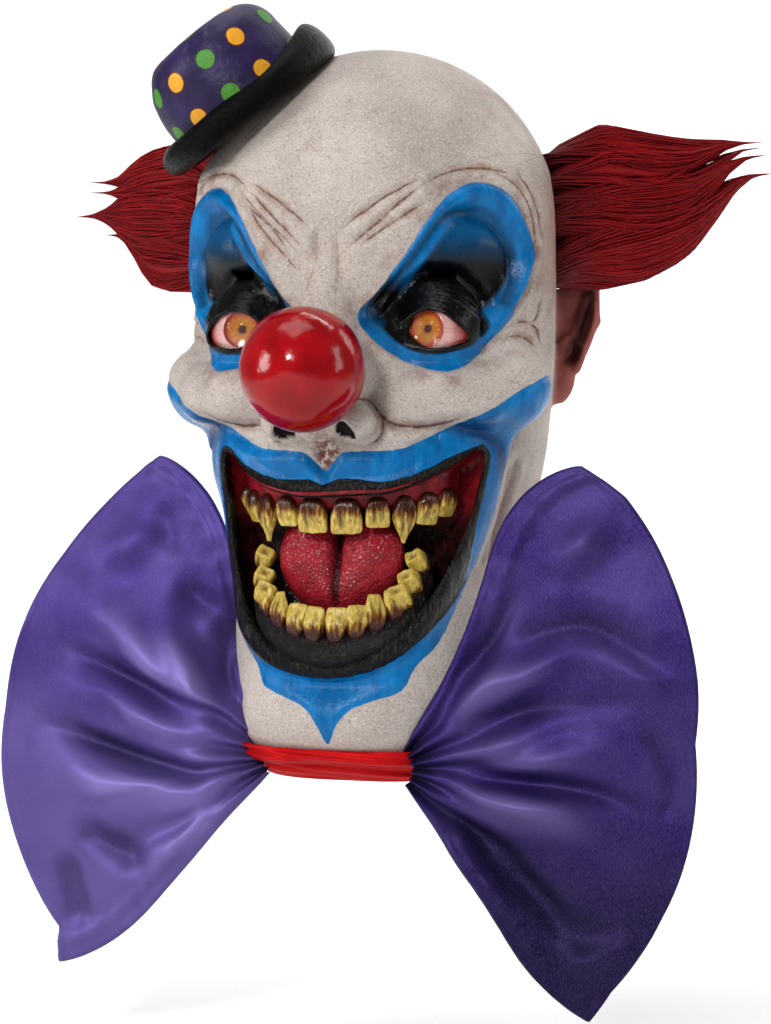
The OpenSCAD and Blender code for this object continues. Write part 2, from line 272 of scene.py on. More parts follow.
class Map:
    """Numbers over a flat grid, read back anywhere in between."""

    def __init__(self, u_range, v_range, step=0.5):
        self.u = np.arange(u_range[0], u_range[1], step, dtype=np.float32)
        self.v = np.arange(v_range[0], v_range[1], step, dtype=np.float32)
        self.step = step
        self.value = np.zeros((len(self.u), len(self.v)), np.float32)

    def grid(self):
        return np.meshgrid(self.u, self.v, indexing="ij")

    def line_distance(self, line, closed=False, reach=24.0):
        """Distance to a polyline, negative inside a closed one, and never over reach."""
        line = np.asarray(line, np.float32)
        out = np.full(self.value.shape, reach, np.float32)
        low, high = line.min(0) - reach, line.max(0) + reach
        iu = np.flatnonzero((self.u >= low[0]) & (self.u <= high[0]))
        iv = np.flatnonzero((self.v >= low[1]) & (self.v <= high[1]))
        if not len(iu) or not len(iv):
            return out
        box = (slice(iu[0], iu[-1] + 1), slice(iv[0], iv[-1] + 1))
        u, v = self.u[box[0]][:, None], self.v[box[1]][None, :]
        near = np.full((len(iu), len(iv)), reach ** 2, np.float32)
        inside = np.zeros(near.shape, bool)
        after = np.roll(line, -1, axis=0)
        count = len(line) if closed else len(line) - 1
        for (au, av), (bu, bv) in zip(line[:count], after[:count]):
            du, dv = bu - au, bv - av
            t = np.clip(((u - au) * du + (v - av) * dv) / (du * du + dv * dv + 1e-9), 0, 1)
            near = np.minimum(near, (u - au - t * du) ** 2 + (v - av - t * dv) ** 2)
            if closed and av != bv:
                inside ^= ((av > v) != (bv > v)) & (u < du * (v - av) / dv + au)
        near = np.sqrt(near)
        if closed:
            whole = np.zeros(out.shape, bool)
            whole[box] = inside
            out[box] = near
            return np.where(whole, -out, out)
        out[box] = near
        return out

    def read(self, u, v, value=None):
        value = self.value if value is None else value
        fu = np.clip((u - self.u[0]) / self.step, 0, len(self.u) - 1.001)
        fv = np.clip((v - self.v[0]) / self.step, 0, len(self.v) - 1.001)
        fu, fv = np.broadcast_arrays(fu, fv)
        iu, iv = fu.astype(np.int32), fv.astype(np.int32)
        tu, tv = (fu - iu).astype(np.float32), (fv - iv).astype(np.float32)
        flat = value.ravel()
        at = iu * value.shape[1] + iv
        low = flat[at] * (1 - tv) + flat[at + 1] * tv
        at += value.shape[1]
        high = flat[at] * (1 - tv) + flat[at + 1] * tv
        return low * (1 - tu) + high * tu


# ================================================================ shader helpers

def srgb(r, g, b):
    """Colour from 0 to 255 display values."""
    def linear(v):
        v /= 255
        return v / 12.92 if v <= 0.04045 else ((v + 0.055) / 1.055) ** 2.4
    return (linear(r), linear(g), linear(b), 1.0)


class Finish:
    """A material under construction: each call adds a node and gives its output."""

    def __init__(self, name, **settings):
        self.material = bpy.data.materials.new(name)
        self.material.use_nodes = True
        self.tree = self.material.node_tree
        self.shader = self.tree.nodes["Principled BSDF"]
        self.coordinates = self.tree.nodes.new("ShaderNodeTexCoord").outputs["Object"]
        for key, value in settings.items():
            self.set(key.replace("_", " "), value)

    def set(self, socket, value):
        names = {"Specular": "Specular IOR Level", "Color": "Base Color", "Coat": "Coat Weight",
                 "Sheen": "Sheen Weight", "Subsurface": "Subsurface Weight",
                 "Transmission": "Transmission Weight"}
        self.plug(self.shader.inputs[names.get(socket, socket)], value)

    def plug(self, target, value):
        if isinstance(value, bpy.types.NodeSocket):
            self.tree.links.new(value, target)
        elif value is not None:
            target.default_value = value

    def attribute(self, name):
        node = self.tree.nodes.new("ShaderNodeAttribute")
        node.attribute_name = name
        return node.outputs["Fac"]

    def math(self, operation, a, b=None, c=None):
        node = self.tree.nodes.new("ShaderNodeMath")
        node.operation = operation
        self.plug(node.inputs[0], a)
        self.plug(node.inputs[1], b)
        self.plug(node.inputs[2], c)
        return node.outputs[0]

    def step(self, value, low, high, to_low=0.0, to_high=1.0):
        """Smooth rise from to_low to to_high as value goes from low to high."""
        node = self.tree.nodes.new("ShaderNodeMapRange")
        node.interpolation_type = "SMOOTHSTEP"
        if low > high:
            low, high, to_low, to_high = high, low, to_high, to_low
        self.plug(node.inputs["Value"], value)
        self.plug(node.inputs["From Min"], low)
        self.plug(node.inputs["From Max"], high)
        self.plug(node.inputs["To Min"], to_low)
        self.plug(node.inputs["To Max"], to_high)
        return node.outputs["Result"]

    def stretched(self, scale, turn=(0, 0, 0)):
        node = self.tree.nodes.new("ShaderNodeMapping")
        self.plug(node.inputs["Vector"], self.coordinates)
        node.inputs["Scale"].default_value = scale
        node.inputs["Rotation"].default_value = turn
        return node.outputs["Vector"]

    def noise(self, size, detail=3.0, rough=0.5, at=None, twist=0.0):
        """Soft noise from 0 to 1 whose blobs are about size metres."""
        node = self.tree.nodes.new("ShaderNodeTexNoise")
        self.plug(node.inputs["Vector"], at or self.coordinates)
        node.inputs["Scale"].default_value = 1 / size
        node.inputs["Detail"].default_value = detail
        node.inputs["Roughness"].default_value = rough
        node.inputs["Distortion"].default_value = twist
        return node.outputs["Fac"]

    def cells(self, size, feature="F1", at=None):
        node = self.tree.nodes.new("ShaderNodeTexVoronoi")
        node.feature = feature
        self.plug(node.inputs["Vector"], at or self.coordinates)
        node.inputs["Scale"].default_value = 1 / size
        return node.outputs["Distance"]

    def mix(self, share, a, b):
        node = self.tree.nodes.new("ShaderNodeMix")
        node.data_type = "RGBA"
        self.plug(node.inputs[0], share)
        self.plug(node.inputs[6], a)
        self.plug(node.inputs[7], b)
        return node.outputs[2]

    def relief(self, height, depth, after=None):
        """Bump of the given depth in metres."""
        node = self.tree.nodes.new("ShaderNodeBump")
        node.inputs["Strength"].default_value = 1.0
        node.inputs["Distance"].default_value = depth
        self.plug(node.inputs["Height"], height)
        self.plug(node.inputs["Normal"], after)
        self.set("Normal", node.outputs["Normal"])
        return node.outputs["Normal"]


# ================================================================ the head's plain form

# Rows are (height, value) in millimetres. The jaw and chin are wider than in the CAD model, and the
# dome below also limits how far the head reaches back.
RIM_Z = -258.0
WALL = 3.0
HALF_WIDTHS = [(-258, 52), (-248, 54.5), (-234, 63), (-212, 70.5), (-190, 75), (-169, 75),
               (-125, 82), (-86, 92), (-50, 97), (0, 100), (40, 98), (65, 95), (140, 95)]
FRONTS = [(-258, -68), (-250, -74), (-242, -88), (-230, -92), (-196, -88), (-150, -95),
          (-100, -104), (-45, -106), (0, -99), (20, -95), (50, -95), (140, -95)]
BACKS = [(-258, 58), (-200, 62), (-150, 70), (-100, 86), (-60, 102), (-20, 111), (20, 111),
         (60, 98), (140, 98)]
WIDEST = [(-258, -6), (-150, 0), (-60, -4), (40, -13), (140, -2)]
CORNERS = [(-258, 3.0), (-240, 3.6), (-225, 3.8), (-190, 2.6), (-150, 2.2), (-86, 2.05), (-40, 2.3),
           (40, 2.4), (140, 2.0)]
DOME_AT = (0, -1, 38)
DOME_SIZE = (96, 93, 94)


def eased(rows):
    """Function of height through the rows, with its corners rounded."""
    heights, values = np.array(rows, float).T
    z = np.arange(-290, 160, 0.5)
    reach = 16
    kernel = np.hanning(2 * reach + 3)
    kernel /= kernel.sum()
    fine = np.pad(np.interp(z, heights, values), reach + 1, mode="edge")
    fine = np.convolve(fine, kernel, mode="valid")
    return lambda at: np.interp(at, z, fine).astype(np.float32)


half_width, front_y, back_y = eased(HALF_WIDTHS), eased(FRONTS), eased(BACKS)
widest_y, corner_at = eased(WIDEST), eased(CORNERS)


def column(x, y, z):
    """Superellipse field of the head, 0 on its surface, with its slopes along x and y."""
    n, mid = corner_at(z), widest_y(z)
    depth = np.where(y < mid, mid - front_y(z), back_y(z) - mid)
    a = np.abs(x) / half_width(z) + 1e-4
    b = np.abs(y - mid) / depth + 1e-4
    an, bn = a ** n, b ** n
    total = an + bn
    r = total ** (1 / n)
    return r - 1, r / total * an / a / half_width(z), r / total * bn / b / depth


def head_distance(x, y, z):
    """Nearly the distance to the plain head, without its features."""
    step = 0.5
    f, gx, gy = column(x, y, z)
    gz = (column(x, y, z + step)[0] - f) / step
    side = f / np.maximum(np.sqrt(gx * gx + gy * gy + gz * gz), 0.005)
    dome = ellipsoid(x, y, np.maximum(z, DOME_AT[2]), DOME_AT, DOME_SIZE)
    return smooth_max(side, dome, 10)


def face_y(x, z):
    """Depth of the plain head's face at x, z."""
    n, mid = corner_at(z), widest_y(z)
    share = np.minimum(np.abs(x) / half_width(z), 0.999)
    return mid - (mid - front_y(z)) * (1 - share ** n) ** (1 / n)


def bearing(x, y):
    """Arc round the head from the middle of the face, in millimetres on a 100 mm radius."""
    return 100 * np.arctan2(x, -y)


# ================================================================ lines of the face

# Closed and open outlines as (bearing, height) for the right half; the left half mirrors them.
EYE_PATCH = [(18, -14), (30, -1), (44, 17), (58, 37), (70, 49), (86, 55), (101, 51), (112, 38),
             (121, 20), (117, 4), (108, -9), (98, -22), (83, -35), (64, -43), (45, -38),
             (28, -28)]
SOCKET_GROOVE = [(27, -10), (40, 5), (52, 20), (62, 33), (73, 39), (86, 38), (97, 32), (106, 20),
                 (107, 6), (101, -7)]
LID_CREASE = [(30, -12), (42, 1), (56, 8), (72, 8), (87, 0), (94, -10)]
UNDER_EYE = [(24, -22), (38, -32), (56, -39), (72, -33), (84, -22), (92, -12)]
MOUTH_PAINT = [(0, -94), (5, -90), (11, -85), (24, -84), (41, -83), (55, -78), (69, -71), (87, -60),
               (103, -50), (117, -45), (125, -48), (126, -58), (120, -74), (110, -88), (106, -98),
               (103, -112), (95, -136), (80, -162), (66, -184), (51, -197), (43, -209), (28, -214),
               (14, -219), (6, -227), (0, -238)]
LIP_CREASE = [(74, -71), (88, -76), (100, -84), (106, -96)]
SMILE_FOLD = [(25, -55), (31, -64), (35, -69), (46, -72), (58, -71), (72, -66)]
JAW_FOLDS = [[(113, -96), (109, -118), (99, -142)], [(121, -92), (117, -116), (108, -142)]]
BROW_WRINKLES = [[(11, 32), (25, 42), (41, 51), (52, 56)], [(15, 22), (33, 37), (51, 51)],
                 [(20, 22), (38, 34), (54, 43)], [(56, 54), (70, 60), (88, 63), (106, 60)],
                 [(100, 60), (113, 51), (121, 38), (124, 20)], [(112, 60), (122, 48), (129, 30)],
                 [(119, 12), (112, -2), (106, -10)]]
FROWN_LINES = [[(-6, 28), (-6, 12), (-10, -4)], [(6, 26), (7, 8), (8, -4)]]
CROWS_FEET = [[(107, -18), (115, -16), (123, -22), (129, -28)], [(103, -25), (113, -25), (123, -30)],
              [(128, -6), (126, -13), (121, -17)]]
FOREHEAD_LINES = [[(-60, 52), (-40, 36), (-24, 20)], [(-54, 44), (-36, 26), (-16, 9)]]
NOSTRIL_FOLD = [(12, -60), (24, -58), (31, -66), (31, -76), (24, -81), (14, -80)]

# Mouth opening as (x, height); the corners sit unevenly
MOUTH = [(0, -108), (16, -107), (32, -106), (46, -101), (60, -93), (72, -84), (76, -87), (74, -101),
         (69, -121), (61, -142), (51, -162), (39, -177), (23, -188), (2, -193), (-20, -191),
         (-37, -184), (-50, -169), (-57, -146), (-60, -120), (-63, -100), (-63, -87), (-57, -88),
         (-45, -98), (-30, -105), (-14, -108)]
# Lower edge of the blue upper lip as (bearing, height)
LIP_EDGE = [(-96, -70), (-80, -76), (-66, -80), (-50, -92), (-32, -97), (-14, -97), (0, -102), (14, -96),
            (34, -95), (54, -93), (74, -85), (93, -79), (108, -72)]


def mirrored(line):
    return [(-s, z) for s, z in line]


EYE_AT = (54.0, -65.0, -21.0)
EYE_R = 20.0
# Lid opening round an eye's middle as (x, z), the nose on the left
LID_OPENING = [(-16.5, -2.5), (-12, 4), (-4, 8.4), (5, 8), (12, 3), (17.5, -4.5), (11, -8),
               (2, -9.5), (-8, -8)]


class Face:
    """Reliefs and paint edges of the face, kept as maps over bearing and height."""

    def __init__(self):
        self.skin = Map((-172, 172), (-264, 140))
        s, z = self.skin.grid()
        half = np.abs(s)
        skin = self.skin
        self.patch = np.minimum(skin.line_distance(spline(EYE_PATCH, True), True),
                                skin.line_distance(spline(mirrored(EYE_PATCH), True), True))
        whole = MOUTH_PAINT + mirrored(MOUTH_PAINT[1:-1])[::-1]
        self.paint = skin.line_distance(spline(whole, True, 4), True)
        self.groove = self.both(SOCKET_GROOVE)
        self.lid = self.both(LID_CREASE)
        self.under = self.both(UNDER_EYE)
        self.lipcrease = self.both(LIP_CREASE)
        self.relief = self.wrinkles()
        self.relief += self.eye_relief(half, z) + self.mouth_relief(z)
        self.relief += self.soft_forms(half, s, z)

        self.mouth = Map((-100, 100), (-225, -60))
        self.mouth.value = self.mouth.line_distance(spline(MOUTH, True), True, 30)
        upper = LIP_EDGE + [(140, -100), (140, -240), (-140, -240), (-140, -100)]
        self.below_lip = skin.line_distance(np.array(upper), True)
        self.deep = self.eroded(np.minimum(self.relief, 0), 9)

    @staticmethod
    def eroded(value, rounds):
        """Lowest value nearby, so the skin's inside clears every groove."""
        for _ in range(rounds):
            for axis in (0, 1):
                value = np.minimum(value, np.minimum(np.roll(value, 1, axis), np.roll(value, -1, axis)))
        return value

    def both(self, line):
        """Distance to a line and to its mirror image."""
        return np.minimum(self.skin.line_distance(spline(line)),
                          self.skin.line_distance(spline(mirrored(line))))

    def wrinkles(self):
        """Relief of the folds and wrinkles; their dark paint is in the material."""
        depth = np.zeros_like(self.skin.value)

        def cut(distance, width, deep):
            rolls = bump(distance - 2.6 * width, 1.4 * width)
            depth[...] += 0.4 * deep * rolls - deep * bump(distance, width)

        for line in BROW_WRINKLES:
            cut(self.both(line), 1.6, 1.3)
        for line in FROWN_LINES + FOREHEAD_LINES:
            cut(self.skin.line_distance(spline(line)), 1.8, 1.1)
        for line in CROWS_FEET:
            cut(self.both(line), 1.4, 1.3)
        for line in JAW_FOLDS:
            cut(self.both(line), 2.6, 2.4)
        cut(self.both(SMILE_FOLD), 1.9, 2.6)
        cut(self.both(NOSTRIL_FOLD), 1.4, 1.2)
        return depth

    def eye_relief(self, half, z):
        """Raised rim of the eye patch, the groove inside it, the brow pad and the deep socket."""
        inside = -self.patch
        rim = 3.2 * bump(inside - 4.5, 3.6) * (1 - 0.5 * smooth_step(-12, -30, z))
        groove = -3.6 * bump(self.groove, 3.4)
        floor = -3.5 * smooth_step(7, 16, inside)
        pad = 6.5 * np.exp(-((half - 83) / 17) ** 2 - ((z - 22) / 12) ** 2)
        inner = -8.0 * np.exp(-((half - 40) / 12) ** 2 - ((z + 4) / 11) ** 2)
        crease = -5.0 * bump(self.lid, 4.0) * smooth_step(5, 14, inside)
        around = -1.0 * np.exp(-((half - 62) / 26) ** 2 - ((z + 18) / 15) ** 2) * smooth_step(3, 12, inside)
        under = -1.6 * bump(self.under, 2.4)
        edge = -0.8 * bump(self.patch - 1.0, 1.6)
        within = groove + floor + pad + inner + crease + around + under
        return rim + edge + within * smooth_step(0, 4, inside)

    def mouth_relief(self, z):
        """The painted lip stands proud of the skin, with a crease where it meets the cheek."""
        inside = -self.paint
        upper = smooth_step(-120, -96, z)
        lip = 3.0 * smooth_step(0, 6, inside) * upper
        crease = -3.0 * bump(self.lipcrease, 3.0) - 1.0 * bump(self.paint, 1.6) * upper
        chin = 1.2 * smooth_step(0, 4, inside) * (1 - upper)
        return lip + crease + chin

    def soft_forms(self, half, s, z):
        """Broad swellings and hollows of the skin."""
        muzzle = 7.0 * np.exp(-(half / 36) ** 2 - ((z + 80) / 12) ** 2)
        philtrum = -2.5 * np.exp(-(s / 4.5) ** 2 - ((z + 86) / 8) ** 2)
        frown = 2.2 * np.exp(-((half - 16) / 9) ** 2 - ((z - 20) / 18) ** 2)
        temple = 6.5 * smooth_step(78, 112, half) * smooth_step(178, 140, half)
        temple = temple * smooth_step(-62, -38, z) * smooth_step(90, 62, z)
        jaw = -3.5 * np.exp(-((half - 112) / 14) ** 2 - ((z + 125) / 30) ** 2)
        chin = 4.0 * np.exp(-(half / 34) ** 2 - ((z + 226) / 16) ** 2)
        dimple = -3.0 * np.exp(-(half / 30) ** 2 - ((z + 206) / 7) ** 2)
        return muzzle + philtrum + frown + temple + jaw + chin + dimple

    def read(self, s, z, value):
        return self.skin.read(s, z, value)


# ================================================================ the latex skin

NOSE_AT = (0.0, -130.0, -42.0)
NOSE_SEAT = -112.0
SLOT_AT = (55.0, 8.0)
EAR_AT = (94.5, 30.0, -26.0)
EAR_LEAN = math.radians(24)


def nose_form(x, y, z):
    side = np.abs(x)
    bridge = capsule(x, y, z, (0, -88, 10), (0, -94, -18), 9, 17)
    seat = ellipsoid(x, y, z, (0, -96, -46), (25, 17, 26))
    wing = ellipsoid(side, y, z, (19, -106, -69), (12, 11, 10))
    tip = ellipsoid(x, y, z, (0, -106, -68), (12, 9, 12))
    form = smooth_min(bridge, seat, 8)
    form = smooth_min(form, wing, 4)
    form = smooth_min(form, tip, 4)
    nostril = ellipsoid(side, y, z, (16.5, -112, -75.5), (5.6, 8, 8))
    return form, nostril


def cheek_form(x, y, z):
    side = np.abs(x)
    apple = ellipsoid(side, y, z, (50, -80, -56), (25, 17, 16))
    outer = ellipsoid(side, y, z, (84, -44, -52), (21, 25, 21))
    link = ellipsoid(side, y, z, (68, -64, -55), (24, 22, 18))
    return smooth_min(smooth_min(apple, link, 6), outer, 6)


def ear_parts(x, y, z):
    """An ear's flap and its hollow; it leans back from the head and narrows to its lobe."""
    side = np.abs(x)
    w = z - EAR_AT[2]
    u = (side - EAR_AT[0]) * math.cos(EAR_LEAN) + (y - EAR_AT[1]) * math.sin(EAR_LEAN) - 0.2 * w
    v = -(side - EAR_AT[0]) * math.sin(EAR_LEAN) + (y - EAR_AT[1]) * math.cos(EAR_LEAN)
    flap = ellipsoid(u, v, w, (4, 4, 8), (13.5, 6, 31))
    lobe = ellipsoid(u, v, w, (5, 1, -25), (6.5, 5, 10))
    form = smooth_min(flap, lobe, 6)
    rim = capsule(u, v, w, (12, 0, 30), (16, -1, 10), 2.8, 2.8)
    rim = smooth_min(rim, capsule(u, v, w, (16, -1, 10), (11, -1, -16), 2.8, 2.4), 2)
    upper_hollow = ellipsoid(u, v, w, (9.5, -4, 12), (4, 5, 15))
    hollow = np.minimum(upper_hollow, ellipsoid(u, v, w, (6.5, -5, -6), (4.5, 6, 8)))
    form = smooth_max(smooth_min(form, rim, 2), -hollow, 2)
    fold = capsule(u, v, w, (8, -2, 24), (5, -4, 2), 2.6, 2.2)
    flap_front = ellipsoid(u, v, w, (2, -5, -4), (4, 4, 7))
    return smooth_min(smooth_min(form, fold, 2), flap_front, 2), hollow


def ear_form(x, y, z):
    return ear_parts(x, y, z)[0]


def lid_form(x, y, z, opening):
    """Thick rolled lids that follow the eyeball, with the opening left free."""
    side = np.abs(x)
    dx, dy, dz = side - EYE_AT[0], y - EYE_AT[1], z - EYE_AT[2]
    r = np.sqrt(dx * dx + dy * dy + dz * dz)
    edge = opening.read(dx, dz)
    folds = 0.9 * np.cos(np.clip(edge - 1.6, 0, 14) * 2 * math.pi / 4.4) ** 2 * smooth_step(0, -6, -dz)
    thick = 2.4 + 0.7 * smooth_step(3, 0, np.abs(edge - 1.6)) + folds
    shell = smooth_max(r - (EYE_R + thick), (EYE_R + 0.4) - r, 1.0)
    lids = smooth_max(shell, 0.4 - edge, 1.6)
    return smooth_max(lids, dy + 2, 2), r - (EYE_R + 0.4)


def lip_form(h, gap, z):
    """Rolled lip round the mouth opening, from the distances to the head and to the opening."""
    low = smooth_step(-150, -185, z)
    radius = 4.6 + 1.8 * low
    return np.sqrt((gap - 3.4 - 1.6 * low) ** 2 + (h - 0.5) ** 2) - radius


def solid_head(x, y, z, h, relief):
    """Distance to the head's outside with its cheeks, nose and ears, as if it were solid."""
    outer = h - relief
    cheeks = cheek_form(x, y, z) - 0.4 * np.maximum(relief, -6)
    outer = smooth_min(outer, cheeks, 7)
    outer = smooth_min(outer, nose_form(x, y, z)[0], 4)
    return smooth_min(outer, ear_form(x, y, z), 5)


def below_crown(z):
    """1 on the face, fading to 0 towards the crown, where the maps of the face end."""
    return 1 - smooth_step(96, 112, z)


def face_relief(x, y, z, face):
    return face.read(bearing(x, y), z, face.relief) * below_crown(z)


def surface_depth(x, y, z, face):
    """Distance from the head's outside, negative on the inside of the skin."""
    return solid_head(x, y, z, head_distance(x, y, z), face_relief(x, y, z, face))


def head_field(x, y, z, face, opening):
    """Signed distance to the finished latex skin, in millimetres."""
    h = head_distance(x, y, z)
    relief = face_relief(x, y, z, face)
    outer = solid_head(x, y, z, h, relief)
    nostril = nose_form(x, y, z)[1]
    gap = face.mouth.read(x, z)
    front = y + 40
    lips = smooth_max(lip_form(h, gap, z), front, 2)
    outer = smooth_min(outer, lips, 4)
    lids, eyeball = lid_form(x, y, z, opening)
    outer = smooth_max(outer, -nostril, 1.5)

    deep = face.read(bearing(x, y), z, face.deep) * below_crown(z)
    inner = h - deep + WALL
    shell = smooth_max(outer, -inner, 1.0)
    side = np.abs(x)
    block = np.sqrt((side - EYE_AT[0]) ** 2 + (z - EYE_AT[2]) ** 2) - (EYE_R + 3)
    block = np.maximum(np.maximum(block, y + 60), outer)
    shell = np.minimum(shell, block)
    shell = smooth_max(shell, -eyeball, 0.8)
    shell = smooth_min(shell, lids, 8.0)
    hole = np.maximum(gap + 0.5, y + 44)
    shell = smooth_max(shell, -hole, 1.5)
    slot = np.sqrt(np.maximum(np.abs(side - SLOT_AT[0]) - 5.0, 0) ** 2
                   + (z - SLOT_AT[1] - 0.1 * (side - SLOT_AT[0])) ** 2) - 1.9
    slot = np.maximum(slot, y + 50)
    shell = smooth_max(shell, -slot, 1.5)
    return np.maximum(shell, RIM_Z - z)


def surface_points(x_axis, y_axis, z_axis, field):
    """Zero surface of field over a grid whose spacing may vary, as points and faces."""
    values = np.empty((len(x_axis), len(y_axis), len(z_axis)), np.float32)
    slab = 24
    for i in range(0, len(x_axis), slab):
        x = x_axis[i:i + slab, None, None]
        values[i:i + slab] = field(x, y_axis[None, :, None], z_axis[None, None, :])
    values = np.clip(values, -8, 8)
    grid = openvdb.FloatGrid(8.0)
    grid.copyFromArray(values)
    points, triangles, quads = grid.convertToPolygons(isovalue=0.0, adaptivity=0.0)
    points = np.column_stack([np.interp(points[:, k], np.arange(len(axis)), axis)
                              for k, axis in enumerate((x_axis, y_axis, z_axis))])
    faces = [tuple(f) for f in triangles.tolist()] + [tuple(f) for f in quads.tolist()]
    return points.astype(np.float32), faces


def settle(points, field, rounds=2):
    """Move points onto the zero surface along the field's slope."""
    e = 0.25
    for _ in range(rounds):
        x, y, z = points.T
        f = field(x, y, z)
        slope = np.stack([field(x + e, y, z) - f, field(x, y + e, z) - f, field(x, y, z + e) - f], 1) / e
        size = np.maximum((slope ** 2).sum(1), 0.1)
        move = np.clip(f / size, -0.8, 0.8)[:, None] * slope
        points = points - move.astype(np.float32)
    return points


def axis_steps(stops):
    """Grid positions between stops, each stop a (position, spacing up to the next)."""
    out = []
    for (a, step), (b, _) in zip(stops, stops[1:]):
        count = max(1, round((b - a) / step))
        out.extend(a + (b - a) * i / count for i in range(count))
    out.append(stops[-1][0])
    return np.array(out, np.float32)


def edge_of(opening, x, y, z):
    """Distance from the lid opening, large away from the eyes."""
    edge = opening.read(np.abs(x) - EYE_AT[0], z - EYE_AT[2])
    return np.where(y < -50, edge, 20)


def store_paint(mesh, points, face, opening):
    """Numbers at each point of the skin that the painted latex reads."""
    x, y, z = points.T
    s = bearing(x, y)
    gap = face.mouth.read(x, z)
    under = smooth_step(-110, -170, z)
    black = 3.0 + 7.0 * under + 6.5 * bump(x, 36) * smooth_step(-130, -112, z)
    lips = np.where(y < -30, gap - black, 30)
    lips = np.maximum(lips, face.read(s, z, face.below_lip))
    half = np.abs(s)
    fade = smooth_step(9, 14, -face.read(s, z, face.patch)) * (0.34 + 0.66 * smooth_step(30, 6, z))
    lid = edge_of(opening, x, y, z)
    above = smooth_step(-27, -18, z)
    fade = np.maximum(fade, smooth_step(4.5 + 7 * above, 2.5 + 4.5 * above, lid))
    # painted shade: black in the deep inner corners of the sockets and darker blue along the socket groove
    fade = np.maximum(fade, np.exp(-((half - 36) / 14) ** 2 - ((z + 8) / 12) ** 2) * 1.2)
    groove = bump(face.read(s, z, face.groove), 3.0) * 0.42
    store(mesh, "fade", np.clip(np.maximum(fade, groove), 0, 1))
    # painted shade: the blue darkens along the crease where the lip meets the cheek
    store(mesh, "lipshade", bump(face.read(s, z, face.lipcrease), 6) * 0.9)
    temple = np.exp(-((half - 150) / 26) ** 2 - ((z - 26) / 40) ** 2)
    neck = 0.5 * smooth_step(60, 130, half) * smooth_step(-60, -140, z)
    store(mesh, "blush", np.clip(temple + neck, 0, 1))
    around = 0.8 * bump(face.read(s, z, face.patch) - 2, 7) + 0.35 * smooth_step(70, 140, half)
    store(mesh, "stain", np.clip(around * (z > -70), 0, 1))
    scab = np.exp(-((x - 3) / 7) ** 2 - ((z + 86) / 9) ** 2) * (y < -60)
    store(mesh, "scab", np.clip(1.5 * scab, 0, 1))
    store(mesh, "patch", np.where(y < 60, face.read(s, z, face.patch), 24))
    store(mesh, "paint", np.where(y < 10, face.read(s, z, face.paint), 24))
    store(mesh, "lips", lips)
    store(mesh, "turn", s)
    store(mesh, "height", np.where((y < 40) & (gap > 3), z, -300))
    ear, hollow = ear_parts(x, y, z)
    store(mesh, "ear", smooth_step(5, 0, ear))
    # painted shade in the ear's hollow
    store(mesh, "ear_hollow_shade", smooth_step(2.5, 0.2, hollow))
    inner = surface_depth(x, y, z, face)
    clear = (y > -36) | ((lid > 16) & (gap > 4))
    store(mesh, "inside", (inner < -1.6) & clear)


def make_skin(face, opening):
    fine = 1.5
    x_axis = axis_steps([(-124, fine), (124, fine)])
    y_axis = axis_steps([(-126, fine), (-30, 2.0), (118, 2.0)])
    z_axis = axis_steps([(-262, fine), (66, 2.0), (140, 2.0)])

    def field(x, y, z):
        return head_field(x, y, z, face, opening)

    points, faces = surface_points(x_axis, y_axis, z_axis, field)
    points = settle(points, field)
    mesh = mesh_from("mask_skin_latex", points, faces)
    store_paint(mesh, points, face, opening)
    add_piece("mask_skin_latex", mesh, latex_finish(), "mask_skin")


def crease_paint(f):
    """Thin brown lines in the folds and the rust round them, from bowed lines over bearing and height."""
    node = f.tree.nodes.new("ShaderNodeCombineXYZ")
    wander = f.math("MULTIPLY_ADD", f.noise(0.012, 3, 0.6), 3.4, -1.7)
    bearing_at = f.math("ADD", f.attribute("turn"), wander)
    f.plug(node.inputs[0], bearing_at)
    f.plug(node.inputs[1], f.attribute("height"))
    plain = node.outputs[0]
    node = f.tree.nodes.new("ShaderNodeCombineXYZ")
    f.plug(node.inputs[0], f.math("ABSOLUTE", bearing_at))
    f.plug(node.inputs[1], f.attribute("height"))
    folded = node.outputs[0]
    lines = [(folded, line, 0.75, 0.9) for line in BROW_WRINKLES]
    lines += [(plain, line, 0.7, 0.85) for line in FOREHEAD_LINES]
    lines += [(plain, line, 1.0, 0.35) for line in FROWN_LINES]
    lines += [(folded, line, 0.7, 0.9) for line in CROWS_FEET]
    lines += [(folded, line, 1.3, 0.35) for line in JAW_FOLDS]
    lines += [(folded, SMILE_FOLD[:4], 0.9, 1.0), (folded, SMILE_FOLD[2:], 1.0, 1.0)]
    lines += [(folded, NOSTRIL_FOLD[:3], 0.8, 0.9), (folded, NOSTRIL_FOLD[2:5], 0.8, 0.9)]
    total, soft_total = None, None
    for at, line, width, dark in lines:
        one, wide = arc_mask(f, at, line, width, dark)
        total = one if total is None else f.math("MAXIMUM", total, one)
        soft_total = wide if soft_total is None else f.math("MAXIMUM", soft_total, wide)
    broken = f.step(f.noise(0.005, 3, 0.6), 0.3, 0.55, 0.25, 1.0)
    soft = f.step(f.noise(0.0012, 2), 0.3, 0.6, 0.6, 1.0)
    rust = f.math("MULTIPLY", soft_total, f.step(f.noise(0.007, 3, 0.6), 0.35, 0.65))
    return f.math("MULTIPLY", f.math("MULTIPLY", total, broken), soft), rust


